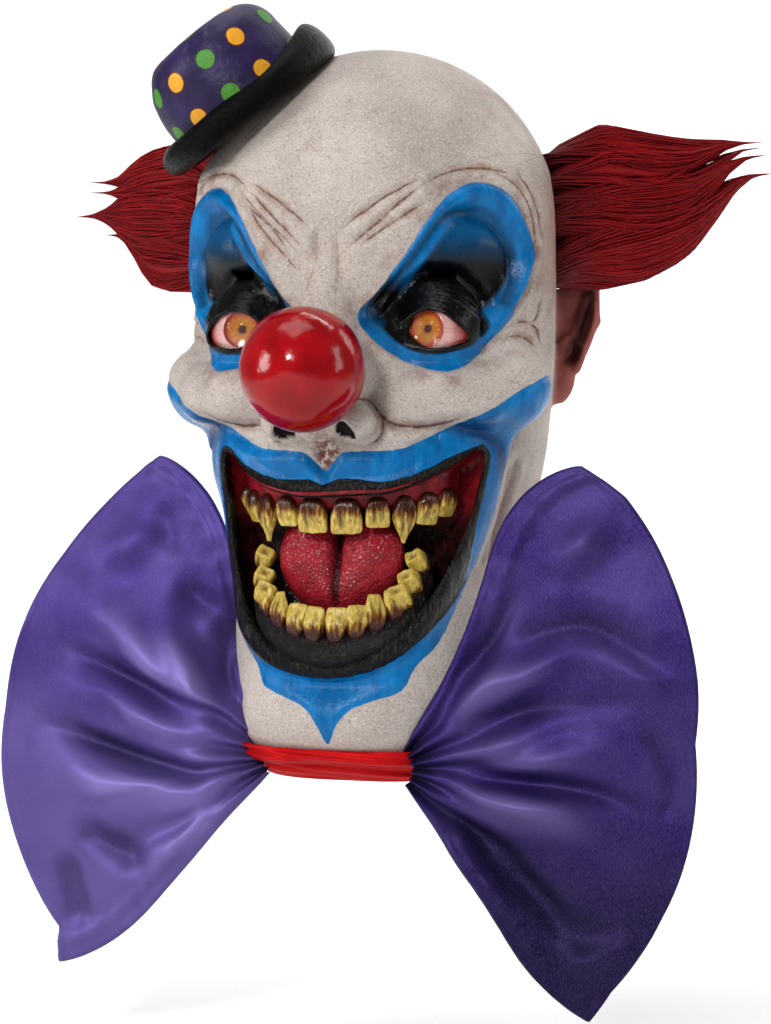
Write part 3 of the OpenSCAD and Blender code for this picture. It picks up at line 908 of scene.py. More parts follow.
def arc_mask(f, at, line, width, dark):
    """Shares of a thin and of a wide stroke on the parabola through a line's ends and its middle."""
    points = np.array(line, float)
    start, end = points[0], points[-1]
    middle, reach = (start + end) / 2, end - start
    half = np.linalg.norm(reach) / 2
    across = np.array([-reach[1], reach[0]]) / (2 * half)
    bow = max(((p - middle) @ across for p in points[1:-1]), key=abs)
    node = f.tree.nodes.new("ShaderNodeMapping")
    node.vector_type = "TEXTURE"
    f.plug(node.inputs["Vector"], at)
    node.inputs["Location"].default_value = (*middle, 0)
    node.inputs["Rotation"].default_value = (0, 0, math.atan2(reach[1], reach[0]))
    split = f.tree.nodes.new("ShaderNodeSeparateXYZ")
    f.plug(split.inputs[0], node.outputs[0])
    u = f.math("DIVIDE", split.outputs[0], half)
    square = f.math("MULTIPLY", u, u)
    lowered = f.math("SUBTRACT", split.outputs[1], float(bow))
    off = f.math("MULTIPLY_ADD", square, float(bow), lowered)
    taper = f.step(square, 0.2, 1.0, width, 0.05)
    away = f.math("DIVIDE", f.math("ABSOLUTE", off), taper)
    return f.step(away, 1.5, 0.3, 0.0, dark), f.step(away, 5.5, 1.0, 0.0, 0.6 * dark)


def bone_paint(f, grime):
    """Bone-coloured skin with its specks, blush, creases, scab and the redder ears, with painted shade in
    their hollows.
    """
    broad = f.noise(0.045, 3)
    bone = f.mix(f.step(broad, 0.35, 0.65), srgb(176, 166, 158), srgb(194, 184, 175))
    fleck = f.step(f.noise(0.0014, 3, 0.7), 0.52, 0.66)
    bone = f.mix(f.math("MULTIPLY", fleck, 0.5), bone, srgb(136, 116, 112))
    fine = f.step(f.noise(0.0008, 2, 0.6, at=f.stretched((1, 1, 1), (0.4, 0.2, 0))), 0.57, 0.68)
    bone = f.mix(f.math("MULTIPLY", fine, 0.55), bone, srgb(104, 84, 92))
    pale = f.step(f.noise(0.0012, 2, 0.6, at=f.stretched((1, 1, 1), (0.2, 0.7, 0))), 0.56, 0.66)
    bone = f.mix(f.math("MULTIPLY", pale, 0.5), bone, srgb(224, 214, 203))
    dots = f.step(f.cells(0.0075), 0.12, 0.05)
    bone = f.mix(f.math("MULTIPLY", dots, 0.30), bone, srgb(96, 78, 74))
    blush = f.step(f.attribute("blush"), 0, 1)
    bone = f.mix(f.math("MULTIPLY", blush, 0.48), bone, srgb(150, 92, 78))
    patchy = f.math("MULTIPLY", f.step(f.noise(0.012, 4, 0.6), 0.40, 0.75), 0.9)
    stain = f.math("MULTIPLY", f.attribute("stain"), patchy)
    bone = f.mix(stain, bone, srgb(122, 80, 62))
    crease, rust = crease_paint(f)
    bone = f.mix(rust, bone, srgb(150, 104, 84))
    bone = f.mix(crease, bone, srgb(84, 42, 30))
    bone = f.mix(grime, bone, srgb(140, 116, 104))
    scab = f.math("MULTIPLY", f.attribute("scab"), f.step(f.noise(0.003, 4, 0.7), 0.38, 0.56))
    bone = f.mix(scab, bone, srgb(112, 58, 42))
    scab_dark = f.math("MULTIPLY", f.attribute("scab"), f.step(f.noise(0.0022, 3, 0.7), 0.56, 0.66))
    bone = f.mix(scab_dark, bone, srgb(66, 26, 20))
    ear = f.mix(f.noise(0.008, 3), srgb(140, 60, 58), srgb(184, 112, 102))
    # painted shade: the ear turns dark red inside its hollow
    ear = f.mix(f.attribute("ear_hollow_shade"), ear, srgb(66, 20, 20))
    bone = f.mix(f.attribute("ear"), bone, ear)
    return bone


def latex_finish():
    """Painted latex: speckled bone skin, glossy blue patches, black sockets and lips, brown creases."""
    f = Finish("painted_latex", IOR=1.45, Specular=0.24)
    wobble = f.math("MULTIPLY_ADD", f.noise(0.006, 2), 1.6, -0.8)
    grime = f.step(f.noise(0.020, 5, 0.7), 0.52, 0.8, 0.0, 0.5)

    bone = bone_paint(f, grime)
    # blue paint, thinner and darker in the sockets, with painted shade along the socket groove and in their
    # inner corners
    strokes = f.noise(0.010, 4, 0.6, at=f.stretched((1, 1, 0.35)))
    blue = f.mix(f.step(strokes, 0.35, 0.7), srgb(0, 92, 152), srgb(4, 118, 184))
    fade = f.attribute("fade")
    deep = f.mix(f.step(fade, 0.05, 0.5), blue, srgb(4, 60, 96))
    dark = f.mix(f.noise(0.005, 4, 0.65), srgb(3, 3, 3), srgb(12, 11, 12))
    socket = f.mix(f.step(fade, 0.35, 0.95), deep, dark)
    patch_edge = f.math("ADD", f.attribute("patch"), wobble)
    in_patch = f.step(patch_edge, 0.25, -0.25)
    paint_edge = f.math("ADD", f.attribute("paint"), wobble)
    in_paint = f.step(paint_edge, 0.25, -0.25)
    halo = f.math("MULTIPLY", f.step(patch_edge, 1.6, 0.2), 0.35)
    color = f.mix(halo, bone, srgb(120, 108, 112))
    color = f.mix(in_patch, color, socket)
    # painted shade: deeper blue along the lip crease
    shade = f.mix(f.attribute("lipshade"), blue, srgb(6, 50, 96))
    color = f.mix(in_paint, color, shade)
    lip_edge = f.math("ADD", f.attribute("lips"), f.math("MULTIPLY", wobble, 0.7))
    in_lips = f.step(lip_edge, 0.25, -0.25)
    wrinkled = f.noise(0.0026, 4, 0.65, at=f.stretched((1, 1, 0.22)))
    # painted glints: the black of the lips lightens on the crests of the wrinkles that this noise raises
    lip_black = f.mix(f.step(wrinkled, 0.52, 0.74), srgb(3, 3, 3), srgb(62, 55, 44))
    color = f.mix(in_lips, color, lip_black)
    color = f.mix(f.attribute("inside"), color, srgb(26, 16, 14))
    f.set("Color", color)

    # gloss of the paints, and the pores and brush marks
    painted = f.math("MAXIMUM", in_patch, in_paint)
    smooth = f.mix(painted, (0.62, 0.62, 0.62, 1), (0.22, 0.22, 0.22, 1))
    wet = f.math("MAXIMUM", in_lips, f.math("MULTIPLY", in_patch, f.step(fade, 0.5, 0.95)))
    smooth = f.mix(f.step(f.noise(0.006, 3), 0.4, 0.9), smooth, (0.5, 0.5, 0.5, 1))
    smooth = f.mix(wet, smooth, (0.11, 0.11, 0.11, 1))
    f.set("Roughness", smooth)
    pores = f.relief(f.noise(0.0012, 3, 0.6), 0.00025)
    ridges = f.relief(f.math("MULTIPLY", wrinkled, in_lips), 0.0032, pores)
    f.relief(strokes, 0.0009, ridges)
    return f.material


# ================================================================ eyes

IRIS_R = 9.5
IRIS_DEPTH = 3.2
GAZE = math.radians(10)


def gazing(points, side, at):
    """The same points turned about the eye's middle, so that it looks towards the nose."""
    c, s = math.cos(-side * GAZE), math.sin(-side * GAZE)
    away = np.array(points) - at
    across, along = away[:, 0] * c - away[:, 1] * s, away[:, 0] * s + away[:, 1] * c
    return np.column_stack([across, along, away[:, 2]]) + at


def turned(profile, segments=64, at=(0, 0, 0)):
    """Solid of revolution about -Y from (radius, depth) points; depth grows towards the viewer."""
    points = []
    for radius, depth in profile:
        for k in range(segments):
            a = 2 * math.pi * k / segments
            points.append((at[0] + radius * math.cos(a), at[1] - depth, at[2] + radius * math.sin(a)))
    return points, grid_faces(len(profile), segments, wrap=True)


def eye_mesh(name, side, profile, segments, at):
    """Turned part of an eye that keeps each point's place about the eye's axis."""
    points, faces = turned(profile, segments, at)
    mesh = mesh_from(name, gazing(points, side, at), faces)
    away = np.array(points) - at
    store(mesh, "out", np.hypot(away[:, 0], away[:, 2]) / IRIS_R)
    angle = np.arctan2(away[:, 2], away[:, 0])
    store(mesh, "turn_x", np.cos(angle))
    store(mesh, "turn_y", np.sin(angle))
    return mesh


def sclera_finish():
    f = Finish("bloodshot_white", Roughness=0.12, IOR=1.5, Coat=0.6)
    f.set("Coat Roughness", 0.05)
    out = f.attribute("out")
    base = f.mix(f.step(out, 0.98, 1.12), srgb(150, 60, 52), srgb(216, 170, 164))
    base = f.mix(f.step(out, 1.25, 1.9), base, srgb(168, 62, 60))
    veins = f.cells(0.0045, "DISTANCE_TO_EDGE", at=f.coordinates)
    warp = f.noise(0.003, 4, 0.7)
    thin = f.step(f.math("ADD", veins, f.math("MULTIPLY", warp, 0.12)), 0.11, 0.05)
    base = f.mix(f.math("MULTIPLY", thin, 0.55), base, srgb(150, 24, 26))
    base = f.mix(f.math("MULTIPLY", f.step(warp, 0.5, 0.8), 0.3), base, srgb(190, 92, 84))
    f.set("Color", base)
    return f.material


def iris_finish():
    f = Finish("amber_iris", Roughness=0.25, IOR=1.5, Coat=1.0)
    f.set("Coat Roughness", 0.03)
    out = f.attribute("out")
    node = f.tree.nodes.new("ShaderNodeCombineXYZ")
    f.plug(node.inputs[0], f.attribute("turn_x"))
    f.plug(node.inputs[1], f.attribute("turn_y"))
    f.plug(node.inputs[2], f.math("MULTIPLY", out, 0.25))
    fibres = f.noise(0.10, 4, 0.65, at=node.outputs[0])
    amber = f.mix(f.step(fibres, 0.3, 0.7), srgb(196, 96, 8), srgb(240, 170, 40))
    amber = f.mix(f.step(out, 0.62, 0.95), amber, srgb(206, 44, 14))
    amber = f.mix(f.step(out, 0.9, 1.0), amber, srgb(120, 16, 8))
    ragged = f.math("ADD", out, f.math("MULTIPLY", fibres, 0.18))
    amber = f.mix(f.step(ragged, 0.46, 0.24), amber, srgb(96, 62, 8))
    amber = f.mix(f.step(ragged, 0.34, 0.22), amber, srgb(20, 14, 6))
    f.set("Color", amber)
    f.relief(fibres, 0.0003)
    return f.material


def cornea_finish():
    f = Finish("clear_cornea", Roughness=0.03, IOR=1.5, Color=srgb(120, 60, 30), Alpha=0.12)
    f.set("Specular", 1.0)
    haze = f.noise(0.004, 2)
    f.relief(haze, 0.00005)
    return f.material


def make_eye(side, name, finishes):
    at = np.array((side * EYE_AT[0], EYE_AT[1], EYE_AT[2]))
    seat = math.asin((IRIS_R - 0.2) / EYE_R)
    back = math.radians(104)
    seated = EYE_R - IRIS_DEPTH
    arc = [seat + (back - seat) * i / 26 for i in range(27)]
    profile = [(IRIS_R - 0.5, seated - 0.4)]
    profile += [(EYE_R * math.sin(a), EYE_R * math.cos(a)) for a in arc]
    profile += [(14, -4.9), (7, -5), (0.3, -5)]
    ball = eye_mesh("eyeball_" + name, side, profile, 72, at)
    add_piece("eyeball_" + name + "_painted", ball, finishes[0], "eyeball_" + name)

    dish = [(IRIS_R * i / 14, seated - 1.1 * (1 - (i / 14) ** 2)) for i in range(1, 15)]
    under = [(IRIS_R, seated - 1.0), (IRIS_R * 0.5, seated - 1.9), (0.05, seated - 1.9)]
    iris = eye_mesh("iris_" + name, side, [(0.05, seated - 1.1)] + dish + under, 72, at)
    add_piece("iris_" + name + "_painted", iris, finishes[1], "iris_" + name)

    bulge = 0.7
    lens = [(0.05 + (IRIS_R - 0.3) * i / 12,
             math.sqrt(EYE_R ** 2 - (IRIS_R * i / 12) ** 2) + bulge * (1 - (i / 12) ** 2))
            for i in range(13)]
    inner = [(IRIS_R - 0.5, seated + 0.5), (IRIS_R * 0.5, seated - 0.1), (0.05, seated - 0.3)]
    cornea = eye_mesh("cornea_" + name, side, lens + inner, 64, at)
    add_piece("cornea_" + name + "_clear", cornea, finishes[2], "cornea_" + name)


def make_eyes():
    finishes = (sclera_finish(), iris_finish(), cornea_finish())
    make_eye(-1, "left", finishes)
    make_eye(1, "right", finishes)


# ================================================================ nose ball

def nose_finish():
    f = Finish("nose_gloss", Roughness=0.13, IOR=1.5, Specular=0.34)
    cloud = f.noise(0.016, 4, 0.55)
    red = f.mix(f.step(cloud, 0.3, 0.7), srgb(136, 2, 10), srgb(166, 4, 14))
    red = f.mix(f.math("MULTIPLY", f.step(f.noise(0.0015, 2), 0.62, 0.75), 0.25), red, srgb(96, 8, 14))
    f.set("Color", red)
    first = f.relief(f.noise(0.009, 2, 0.4), 0.0005)
    f.relief(f.noise(0.0014, 2), 0.00006, first)
    return f.material


def make_nose():
    """Hand-cast ball with a flat back, glued on its seat."""
    low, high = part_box("nose_ball")
    radius = (high.x - low.x) / 2 / MM
    seat = NOSE_AT[1] - NOSE_SEAT
    flat = math.acos(seat / radius)
    arc = [0.01 + (flat - 0.01) * i / 56 for i in range(57)]
    profile = [(radius * math.sin(a), radius * math.cos(a)) for a in arc]
    edge = profile[-1]
    profile += [(edge[0] - 0.8, edge[1] - 0.3), (edge[0] * 0.5, edge[1] - 0.3), (0.2, edge[1] - 0.3)]
    points, faces = turned(profile, 112, NOSE_AT)
    points = np.array(points)
    away = points - np.array(NOSE_AT)
    dents = 0.28 * np.sin(away[:, 0] * 0.16 + 1.0) * np.sin(away[:, 2] * 0.19 + 0.4)
    points += away / radius * (dents * smooth_step(seat, seat + 8, -away[:, 1]))[:, None]
    mesh = mesh_from("nose_ball_gloss", points, faces)
    add_piece("nose_ball_gloss", mesh, nose_finish(), "nose_ball")


# ================================================================ mouth

THROAT_Y = -45.5


def wet_finish(name, dark, light, size=0.006, wet=0.2):
    """Wet, blotchy flesh."""
    f = Finish(name, Roughness=wet, IOR=1.45, Specular=0.28)
    blotch = f.step(f.noise(size, 4, 0.6), 0.3, 0.72)
    f.set("Color", f.mix(blotch, dark, light))
    first = f.relief(f.noise(size * 0.5, 3, 0.6), 0.0008)
    f.relief(f.noise(0.0011, 2), 0.0002, first)
    return f


def make_liner():
    """Cup behind the lips, wet and ribbed, that closes the mouth off."""
    outline = spline(MOUTH, True, 3)
    n = len(outline)
    mid = np.array([4.0, -140.0])
    wall = 2.0
    steps = [(1.03, 0.0), (1.02, 0.12), (1.0, 0.3), (0.98, 0.5), (0.94, 0.7), (0.87, 0.86),
             (0.74, 0.96), (0.5, 1.0), (0.25, 1.0), (0.02, 1.0)]
    rings = []
    for share, deep in steps:
        flat = mid + (outline - mid) * share
        start = np.minimum(face_y(flat[:, 0], flat[:, 1]) + 3.0, THROAT_Y - 9)
        y = start + (THROAT_Y - start) * deep
        along = np.arange(n) / n * 2 * math.pi
        rib = 0.7 * np.sin(along * 23) * math.sin(math.pi * min(deep, 1)) * (share > 0.6)
        rings.append(np.column_stack([flat[:, 0] + rib * 0.6, y, flat[:, 1] + rib]))
    back = []
    for ring, (share, deep) in zip(rings[::-1], steps[::-1]):
        away = ring[:, [0, 2]] - mid
        away /= np.maximum(np.linalg.norm(away, axis=1), 1)[:, None]
        side = min(1.0, 2.2 * (1 - deep))
        back.append(np.column_stack([ring[:, 0] + away[:, 0] * wall * side, ring[:, 1] + wall * (1 - side),
                                     ring[:, 2] + away[:, 1] * wall * side]))
    rings += back + [rings[0]]
    points = np.vstack(rings[:-1])
    count = len(rings) - 1
    faces = [(r * n + c, r * n + (c + 1) % n, (r + 1) % count * n + (c + 1) % n, (r + 1) % count * n + c)
             for r in range(count) for c in range(n)]
    mesh = mesh_from("mouth_liner_wet", points, faces)
    store(mesh, "high", smooth_step(-128, -106, points[:, 2]))
    f = wet_finish("mouth_inside", srgb(22, 8, 8), srgb(66, 14, 16), 0.007)
    red = f.mix(f.step(f.noise(0.007, 4, 0.6), 0.3, 0.7), srgb(92, 14, 20), srgb(140, 24, 34))
    lower = f.mix(f.step(f.noise(0.006, 4, 0.6), 0.35, 0.75), srgb(14, 8, 8), srgb(58, 12, 14))
    f.set("Color", f.mix(f.attribute("high"), lower, red))
    add_piece("mouth_liner_wet", mesh, f.material, "mouth_liner")


def lower_arch(t, inset=0.0):
    a = math.radians(t)
    return np.array([(46 - inset) * math.sin(a), -65 - (31 - inset) * math.cos(a),
                     -181 + 44 * (abs(t) / 100) ** 1.8])


def upper_arch(t, inset=0.0):
    a = math.radians(t)
    return np.array([(60 - inset) * math.sin(a), -42 - (46 - inset) * math.cos(a),
                     -109 + 6 * (abs(t) / 75) ** 2])


# Teeth of one side: name, bearing on the arch, width, height, how pointed
UPPER_TEETH = [("incisor_{}_1", 9, 15, 15.5, 0), ("incisor_{}_2", 24.5, 11.5, 12.5, 0),
               ("canine_{}", 39, 12, 22, 1), ("premolar_{}", 53, 11.5, 14, 0),
               ("molar_{}", 67, 10.5, 12, 0)]
LOWER_TEETH = [("incisor_{}_1", 7, 10, 15, 0), ("incisor_{}_2", 20.5, 10, 14.5, 0),
               ("canine_{}", 34.5, 10.5, 16, 0.5), ("premolar_{}", 48.5, 9.4, 12.5, 0),
               ("molar_{}_1", 61.5, 9.8, 11.5, 0), ("molar_{}_2", 76, 9, 10.5, 0),
               ("molar_{}_3", 91, 8.6, 9.5, 0)]


def gum_bank(name, arch, reach, sections, tooth_bearings, finish):
    """Ridge along a tooth row; sections are (inset from the arch, height above it)."""
    count = 120
    closed = spline(sections, True, 4)
    n = len(closed)
    points = []
    for k in range(count + 1):
        t = -reach + 2 * reach * k / count
        nearest = min(abs(t - b) for b in tooth_bearings)
        scallop = 0.5 * math.exp(-(nearest / 4.0) ** 2)
        end = min(1.0, (reach - abs(t)) / 5 + 0.15)
        a = math.radians(t)
        base = arch(t)
        for inset, up in closed:
            out = -(inset * end) + scallop * (1 if inset < 0 else 0.2)
            points.append(base + [out * math.sin(a), -out * math.cos(a), up * (0.5 + 0.5 * end)])
    faces = grid_faces(count + 1, n, wrap=True)
    faces.append(list(range(n))[::-1])
    faces.append([count * n + i for i in range(n)])
    mesh = mesh_from(name + "_wet", points, faces)
    add_piece(name + "_wet", mesh, finish, name)


def tooth_finish():
    f = Finish("stained_teeth", IOR=1.5, Specular=0.35)
    along = f.attribute("along")
    lines = f.noise(0.0016, 3, 0.6, at=f.stretched((1, 1, 0.22)))
    cream = f.mix(f.step(lines, 0.35, 0.7), srgb(178, 148, 56), srgb(216, 192, 100))
    ragged = f.math("ADD", along, f.math("MULTIPLY", f.math("SUBTRACT", lines, 0.5), 0.9))
    cream = f.mix(f.step(ragged, 0.76, 0.40), cream, srgb(122, 66, 18))
    cream = f.mix(f.step(ragged, 0.56, 0.28), cream, srgb(52, 16, 8))
    groove = f.math("MULTIPLY", f.attribute("groove"), f.step(lines, 0.25, 0.6, 0.6, 1.0))
    cream = f.mix(groove, cream, srgb(62, 32, 14))
    specks = f.step(f.noise(0.0009, 2), 0.62, 0.72)
    cream = f.mix(f.math("MULTIPLY", specks, 0.5), cream, srgb(104, 66, 26))
    f.set("Color", cream)
    f.set("Roughness", f.step(lines, 0.2, 0.8, 0.12, 0.32))
    f.relief(lines, 0.0005)
    return f.material


def tooth_mesh(width, height, point, taper, seed, chewing):
    """One tooth, its root at the origin and its edge at +Z; the front faces -Y."""
    rng = random.Random(seed)
    rings, segments = 22, 40
    lean = rng.uniform(-0.07, 0.07)
    grooves = [rng.uniform(-0.45, -0.15), rng.uniform(0.12, 0.42)]
    notch = [rng.uniform(-0.6, 0.6), rng.uniform(0.3, 0.9)]
    deep = 8.0 if not chewing else 11.5
    points, along, groove = [], [], []
    for r in range(rings + 1):
        v = r / rings
        z = -4 + (height + 4) * v
        root = smooth_step(0.1, 0.7, v)
        dome = math.sqrt(max(0.02, 1 - max(0.0, (0.3 - v) / 0.3) ** 2))
        half = width / 2 * (taper + (1 - taper) * root) * dome * (1 - 0.04 * smooth_step(0.85, 1, v))
        half *= 1 - point * 0.86 * smooth_step(0.42, 1.04, v)
        half *= math.sqrt(1 - max(0.0, (v - 0.92) / 0.08) ** 2 * 0.22)
        thick = deep / 2 * dome * (0.62 + 0.38 * math.sin(math.pi * min(1, v * 0.8 + 0.22)))
        thick *= 1 - (0.55 if not chewing else 0.1) * smooth_step(0.5, 1, v)
        for k in range(segments):
            a = 2 * math.pi * k / segments
            c, s = math.cos(a), math.sin(a)
            power = 0.42 if chewing else 0.58
            x = half * math.copysign(abs(c) ** power, c)
            y = thick * math.copysign(abs(s) ** power, s)
            share = x / (width / 2)
            cut = max(math.exp(-((share - g - lean * v) / 0.10) ** 2) for g in grooves)
            cut *= smooth_step(0.12, 0.4, v) * smooth_step(1.02, 0.7, v)
            front = 1 if s < 0 else 0.4
            y -= math.copysign(0.85 * cut * front * min(1, abs(y) / 2), y)
            edge = 0.7 * math.exp(-((share - notch[0]) / 0.22) ** 2) * notch[1]
            edge = (edge + 0.35 * math.sin(5 * share + seed)) * smooth_step(0.75, 1, v)
            points.append((x + lean * (z + 4), y - 0.8 * math.sin(math.pi * v), z - edge))
            along.append(v)
            groove.append(cut * front)
    faces = grid_faces(rings + 1, segments, wrap=True)
    # rounded edge or chewing face
    last = rings * segments
    top_rows = 4
    centre = np.mean(points[last:], axis=0)
    previous = list(range(last, last + segments))
    for q in range(1, top_rows + 1):
        share = 1 - (q / top_rows) ** 1.2 * 0.97
        row = []
        for k in range(segments):
            p = np.array(points[last + k])
            lift = 0.3 * math.sin(math.pi / 2 * q / top_rows) - (1.8 * (q / top_rows) ** 2 if chewing else 0)
            moved = centre + (p - centre) * share
            moved[2] = p[2] * share + centre[2] * (1 - share) + lift
            row.append(len(points))
            points.append(tuple(moved))
            along.append(1.0)
            groove.append(0.9 * (q / top_rows) ** 2 if chewing else 0.0)
        for k in range(segments):
            j = (k + 1) % segments
            faces.append((previous[k], previous[j], row[j], row[k]))
        previous = row
    faces.append(previous)
    faces.append(list(range(segments))[::-1])
    return points, faces, along, groove


def make_tooth(node, arch, t, width, height, point, up, finish):
    """Tooth of the upper row (up False) or the lower row at bearing t."""
    seed = sum(ord(c) * (i + 3) for i, c in enumerate(node)) % 997
    rng = random.Random(seed)
    chewing = up and abs(t) > 55
    taper = 0.72 if up and not chewing else 0.84
    width *= 1.16 if chewing else 1.2 if up else 1.12
    points, faces, along, groove = tooth_mesh(width, height, point, taper, seed, chewing)
    turn = math.radians(t + rng.uniform(-3, 3))
    tilt = Matrix.Rotation(math.radians(rng.uniform(-4, 4)), 4, "Y")
    if chewing:
        # the chewing face looks in towards the tongue and out to the viewer
        inward = Matrix.Rotation(math.radians(-24 if t > 0 else 24), 4, "Y")
        tilt = Matrix.Rotation(-turn, 4, "Z") @ inward @ Matrix.Rotation(math.radians(56), 4, "X")
    at = arch(t, 3.0 if chewing else 0.0)
    place = Matrix.Translation(Vector(at) - Vector((0, 0, 0 if up else 3)))
    place = place @ Matrix.Rotation(turn, 4, "Z") @ tilt
    if not up:
        place = place @ Matrix.Diagonal((1, 1, -1, 1))
        faces = [tuple(reversed(f)) for f in faces]
    moved = [place @ Vector(p) for p in points]
    mesh = mesh_from(node + "_enamel", moved, faces)
    store(mesh, "along", np.array(along) + (0.08 if up else 0.04))
    store(mesh, "groove", groove)
    add_piece(node + "_enamel", mesh, finish, node)


def make_teeth():
    finish = tooth_finish()
    for side, name in ((-1, "left"), (1, "right")):
        for form, t, *shape in UPPER_TEETH:
            make_tooth("upper_" + form.format(name), upper_arch, side * t, *shape, False, finish)
        for form, t, *shape in LOWER_TEETH:
            make_tooth("lower_" + form.format(name), lower_arch, side * t, *shape, True, finish)


def make_gums():
    upper = wet_finish("upper_gum", srgb(92, 10, 20), srgb(150, 22, 36), 0.006, 0.26)
    lower = wet_finish("lower_gum", srgb(3, 3, 3), srgb(20, 12, 9), 0.005, 0.14)
    folds = lower.noise(0.0026, 4, 0.65, at=lower.stretched((1, 1, 0.2)))
    lower.relief(folds, 0.0035)
    upper_sections = [(1.5, -5), (-0.6, -2), (-1.6, 4), (-1.2, 10), (0.5, 17), (3, 23), (7, 22), (7, 10),
                      (6, 0), (4, -5)]
    lower_sections = [(-2.0, -5), (-1.0, -1), (1, 2), (4, 2.5), (6, 0), (6, -6), (5, -13), (1, -16),
                      (-3, -12)]
    gum_bank("upper_gum", upper_arch, 82, upper_sections,
             [s * tooth[1] for tooth in UPPER_TEETH for s in (-1, 1)], upper.material)
    gum_bank("lower_gum", lower_arch, 99, lower_sections,
             [s * tooth[1] for tooth in LOWER_TEETH for s in (-1, 1)], lower.material)


def tongue_field(x, y, z):
    side = np.abs(x)
    lobe = ellipsoid(side, y, z, (16, -68, -142), (18.5, 12, 23))
    back = ellipsoid(x, y, z, (0, -56, -140), (32, 9, 22))
    low = ellipsoid(x, y, z, (0, -67, -158), (24, 13, 18))
    form = smooth_min(smooth_min(lobe, back, 6), low, 6)
    groove = 2.6 * np.exp(-(x / 2.6) ** 2) * smooth_step(-178, -160, z)
    bumps = 0.25 * np.sin(x * 1.9) * np.sin(z * 1.7 + 0.4 * x)
    return form + groove + bumps * smooth_step(-60, -70, y)


def make_tongue():
    axes = (axis_steps([(-40, 1.1), (40, 1.1)]), axis_steps([(-88, 1.1), (-44, 1.1)]),
            axis_steps([(-180, 1.1), (-112, 1.1)]))
    points, faces = surface_points(*axes, tongue_field)
    points = settle(points, tongue_field, 1)
    mesh = mesh_from("tongue_wet", points, faces)
    # painted shade along the tongue's middle groove and towards its back
    store(mesh, "groove", bump(points[:, 0], 2.4) * smooth_step(-176, -160, points[:, 2]))
    store(mesh, "rear", smooth_step(-66, -54, points[:, 1]))
    f = wet_finish("wet_tongue", srgb(110, 14, 26), srgb(164, 34, 50), 0.008, 0.17)
    flesh = f.mix(f.step(f.noise(0.008, 4, 0.6), 0.3, 0.7), srgb(112, 8, 20), srgb(156, 20, 36))
    buds = f.step(f.cells(0.0016), 0.2, 0.5)
    flesh = f.mix(f.math("MULTIPLY", buds, 0.16), flesh, srgb(186, 70, 80))
    # painted shade: dark in the middle groove and darker towards the back of the mouth
    flesh = f.mix(f.attribute("groove"), flesh, srgb(38, 10, 12))
    flesh = f.mix(f.attribute("rear"), flesh, srgb(60, 10, 14))
    f.set("Color", flesh)
    f.relief(f.cells(0.0016), 0.0005)
    add_piece("tongue_wet", mesh, f.material, "tongue")


# ================================================================ hat

HAT_AT = Vector((-62.5, -35.5, 98.5))
HAT_TILT = Matrix.Rotation(math.radians(-35), 4, "Y") @ Matrix.Rotation(math.radians(15), 4, "X")
HAT_R = 42.5
HAT_H = 51.0
DOT_R = 5.1
# Painted dots as (bearing round the crown, height), green and yellow columns by turns
DOT_COLUMNS = [-171, -141, -112, -81, -51, -9, 28, 62, 96, 130, 160]
DOT_ROWS = [13, 35]
TOP_DOTS = [(-150, 24), (-85, 22), (-20, 24), (40, 24), (110, 24)]


def hat_place(points):
    place = Matrix.Translation(HAT_AT) @ HAT_TILT
    return np.array([place @ Vector(p) for p in points])


def crown_swell(x, y, z):
    """Hand-sculpted unevenness: a wide dent over the top and a swelling above the brim."""
    turn = np.arctan2(y, x)
    swell = 0.045 * np.exp(-((turn + math.radians(150)) / 0.9) ** 2 - ((z - 22) / 14) ** 2)
    pinch = 0.035 * np.exp(-((turn + math.radians(165)) / 0.5) ** 2 - ((z - 42) / 6) ** 2)
    swell -= 0.03 * np.exp(-((turn + math.radians(30)) / 0.8) ** 2 - ((z - 30) / 16) ** 2)
    share = 1 + swell - pinch
    dent = -1.6 * np.exp(-((x + 12) / 11) ** 2 - (y / 22) ** 2) * smooth_step(38, 48, z)
    return np.column_stack([x * share, y * share, z + dent])


def hat_finish():
    f = Finish("painted_hat", Roughness=0.42, IOR=1.45, Specular=0.28)
    cloud = f.noise(0.016, 5, 0.6)
    purple = f.mix(f.step(cloud, 0.3, 0.72), srgb(28, 18, 56), srgb(48, 35, 82))
    wisp = f.step(f.noise(0.010, 5, 0.7, twist=0.6), 0.55, 0.82)
    purple = f.mix(f.math("MULTIPLY", wisp, 0.4), purple, srgb(112, 102, 136))
    wobble = f.math("MULTIPLY_ADD", f.noise(0.003, 2), 0.9, -0.45)
    yellow = f.mix(f.noise(0.003, 3), srgb(214, 142, 30), srgb(240, 176, 50))
    green = f.mix(f.noise(0.003, 3), srgb(54, 120, 36), srgb(84, 152, 46))
    dots = (("dot_yellow", yellow, srgb(90, 34, 24)), ("dot_green", green, srgb(30, 44, 40)))
    for name, paint, rim in dots:
        edge = f.math("ADD", f.attribute(name), wobble)
        purple = f.mix(f.step(edge, 0.9, 0.2), purple, rim)
        purple = f.mix(f.step(edge, 0.15, -0.3), purple, paint)
    f.set("Color", purple)
    first = f.relief(f.noise(0.008, 4, 0.6), 0.0007)
    f.relief(f.noise(0.0012, 3), 0.00015, first)
    return f.material


def brim_finish():
    f = Finish("black_brim", Roughness=0.25, IOR=1.3, Specular=0.14)
    grain = f.noise(0.0022, 4, 0.75)
    f.set("Color", f.mix(f.step(grain, 0.5, 0.85), srgb(2, 2, 2), srgb(14, 14, 13)))
    first = f.relief(f.noise(0.004, 4, 0.7), 0.0012)
    f.relief(grain, 0.0006, first)
    return f.material


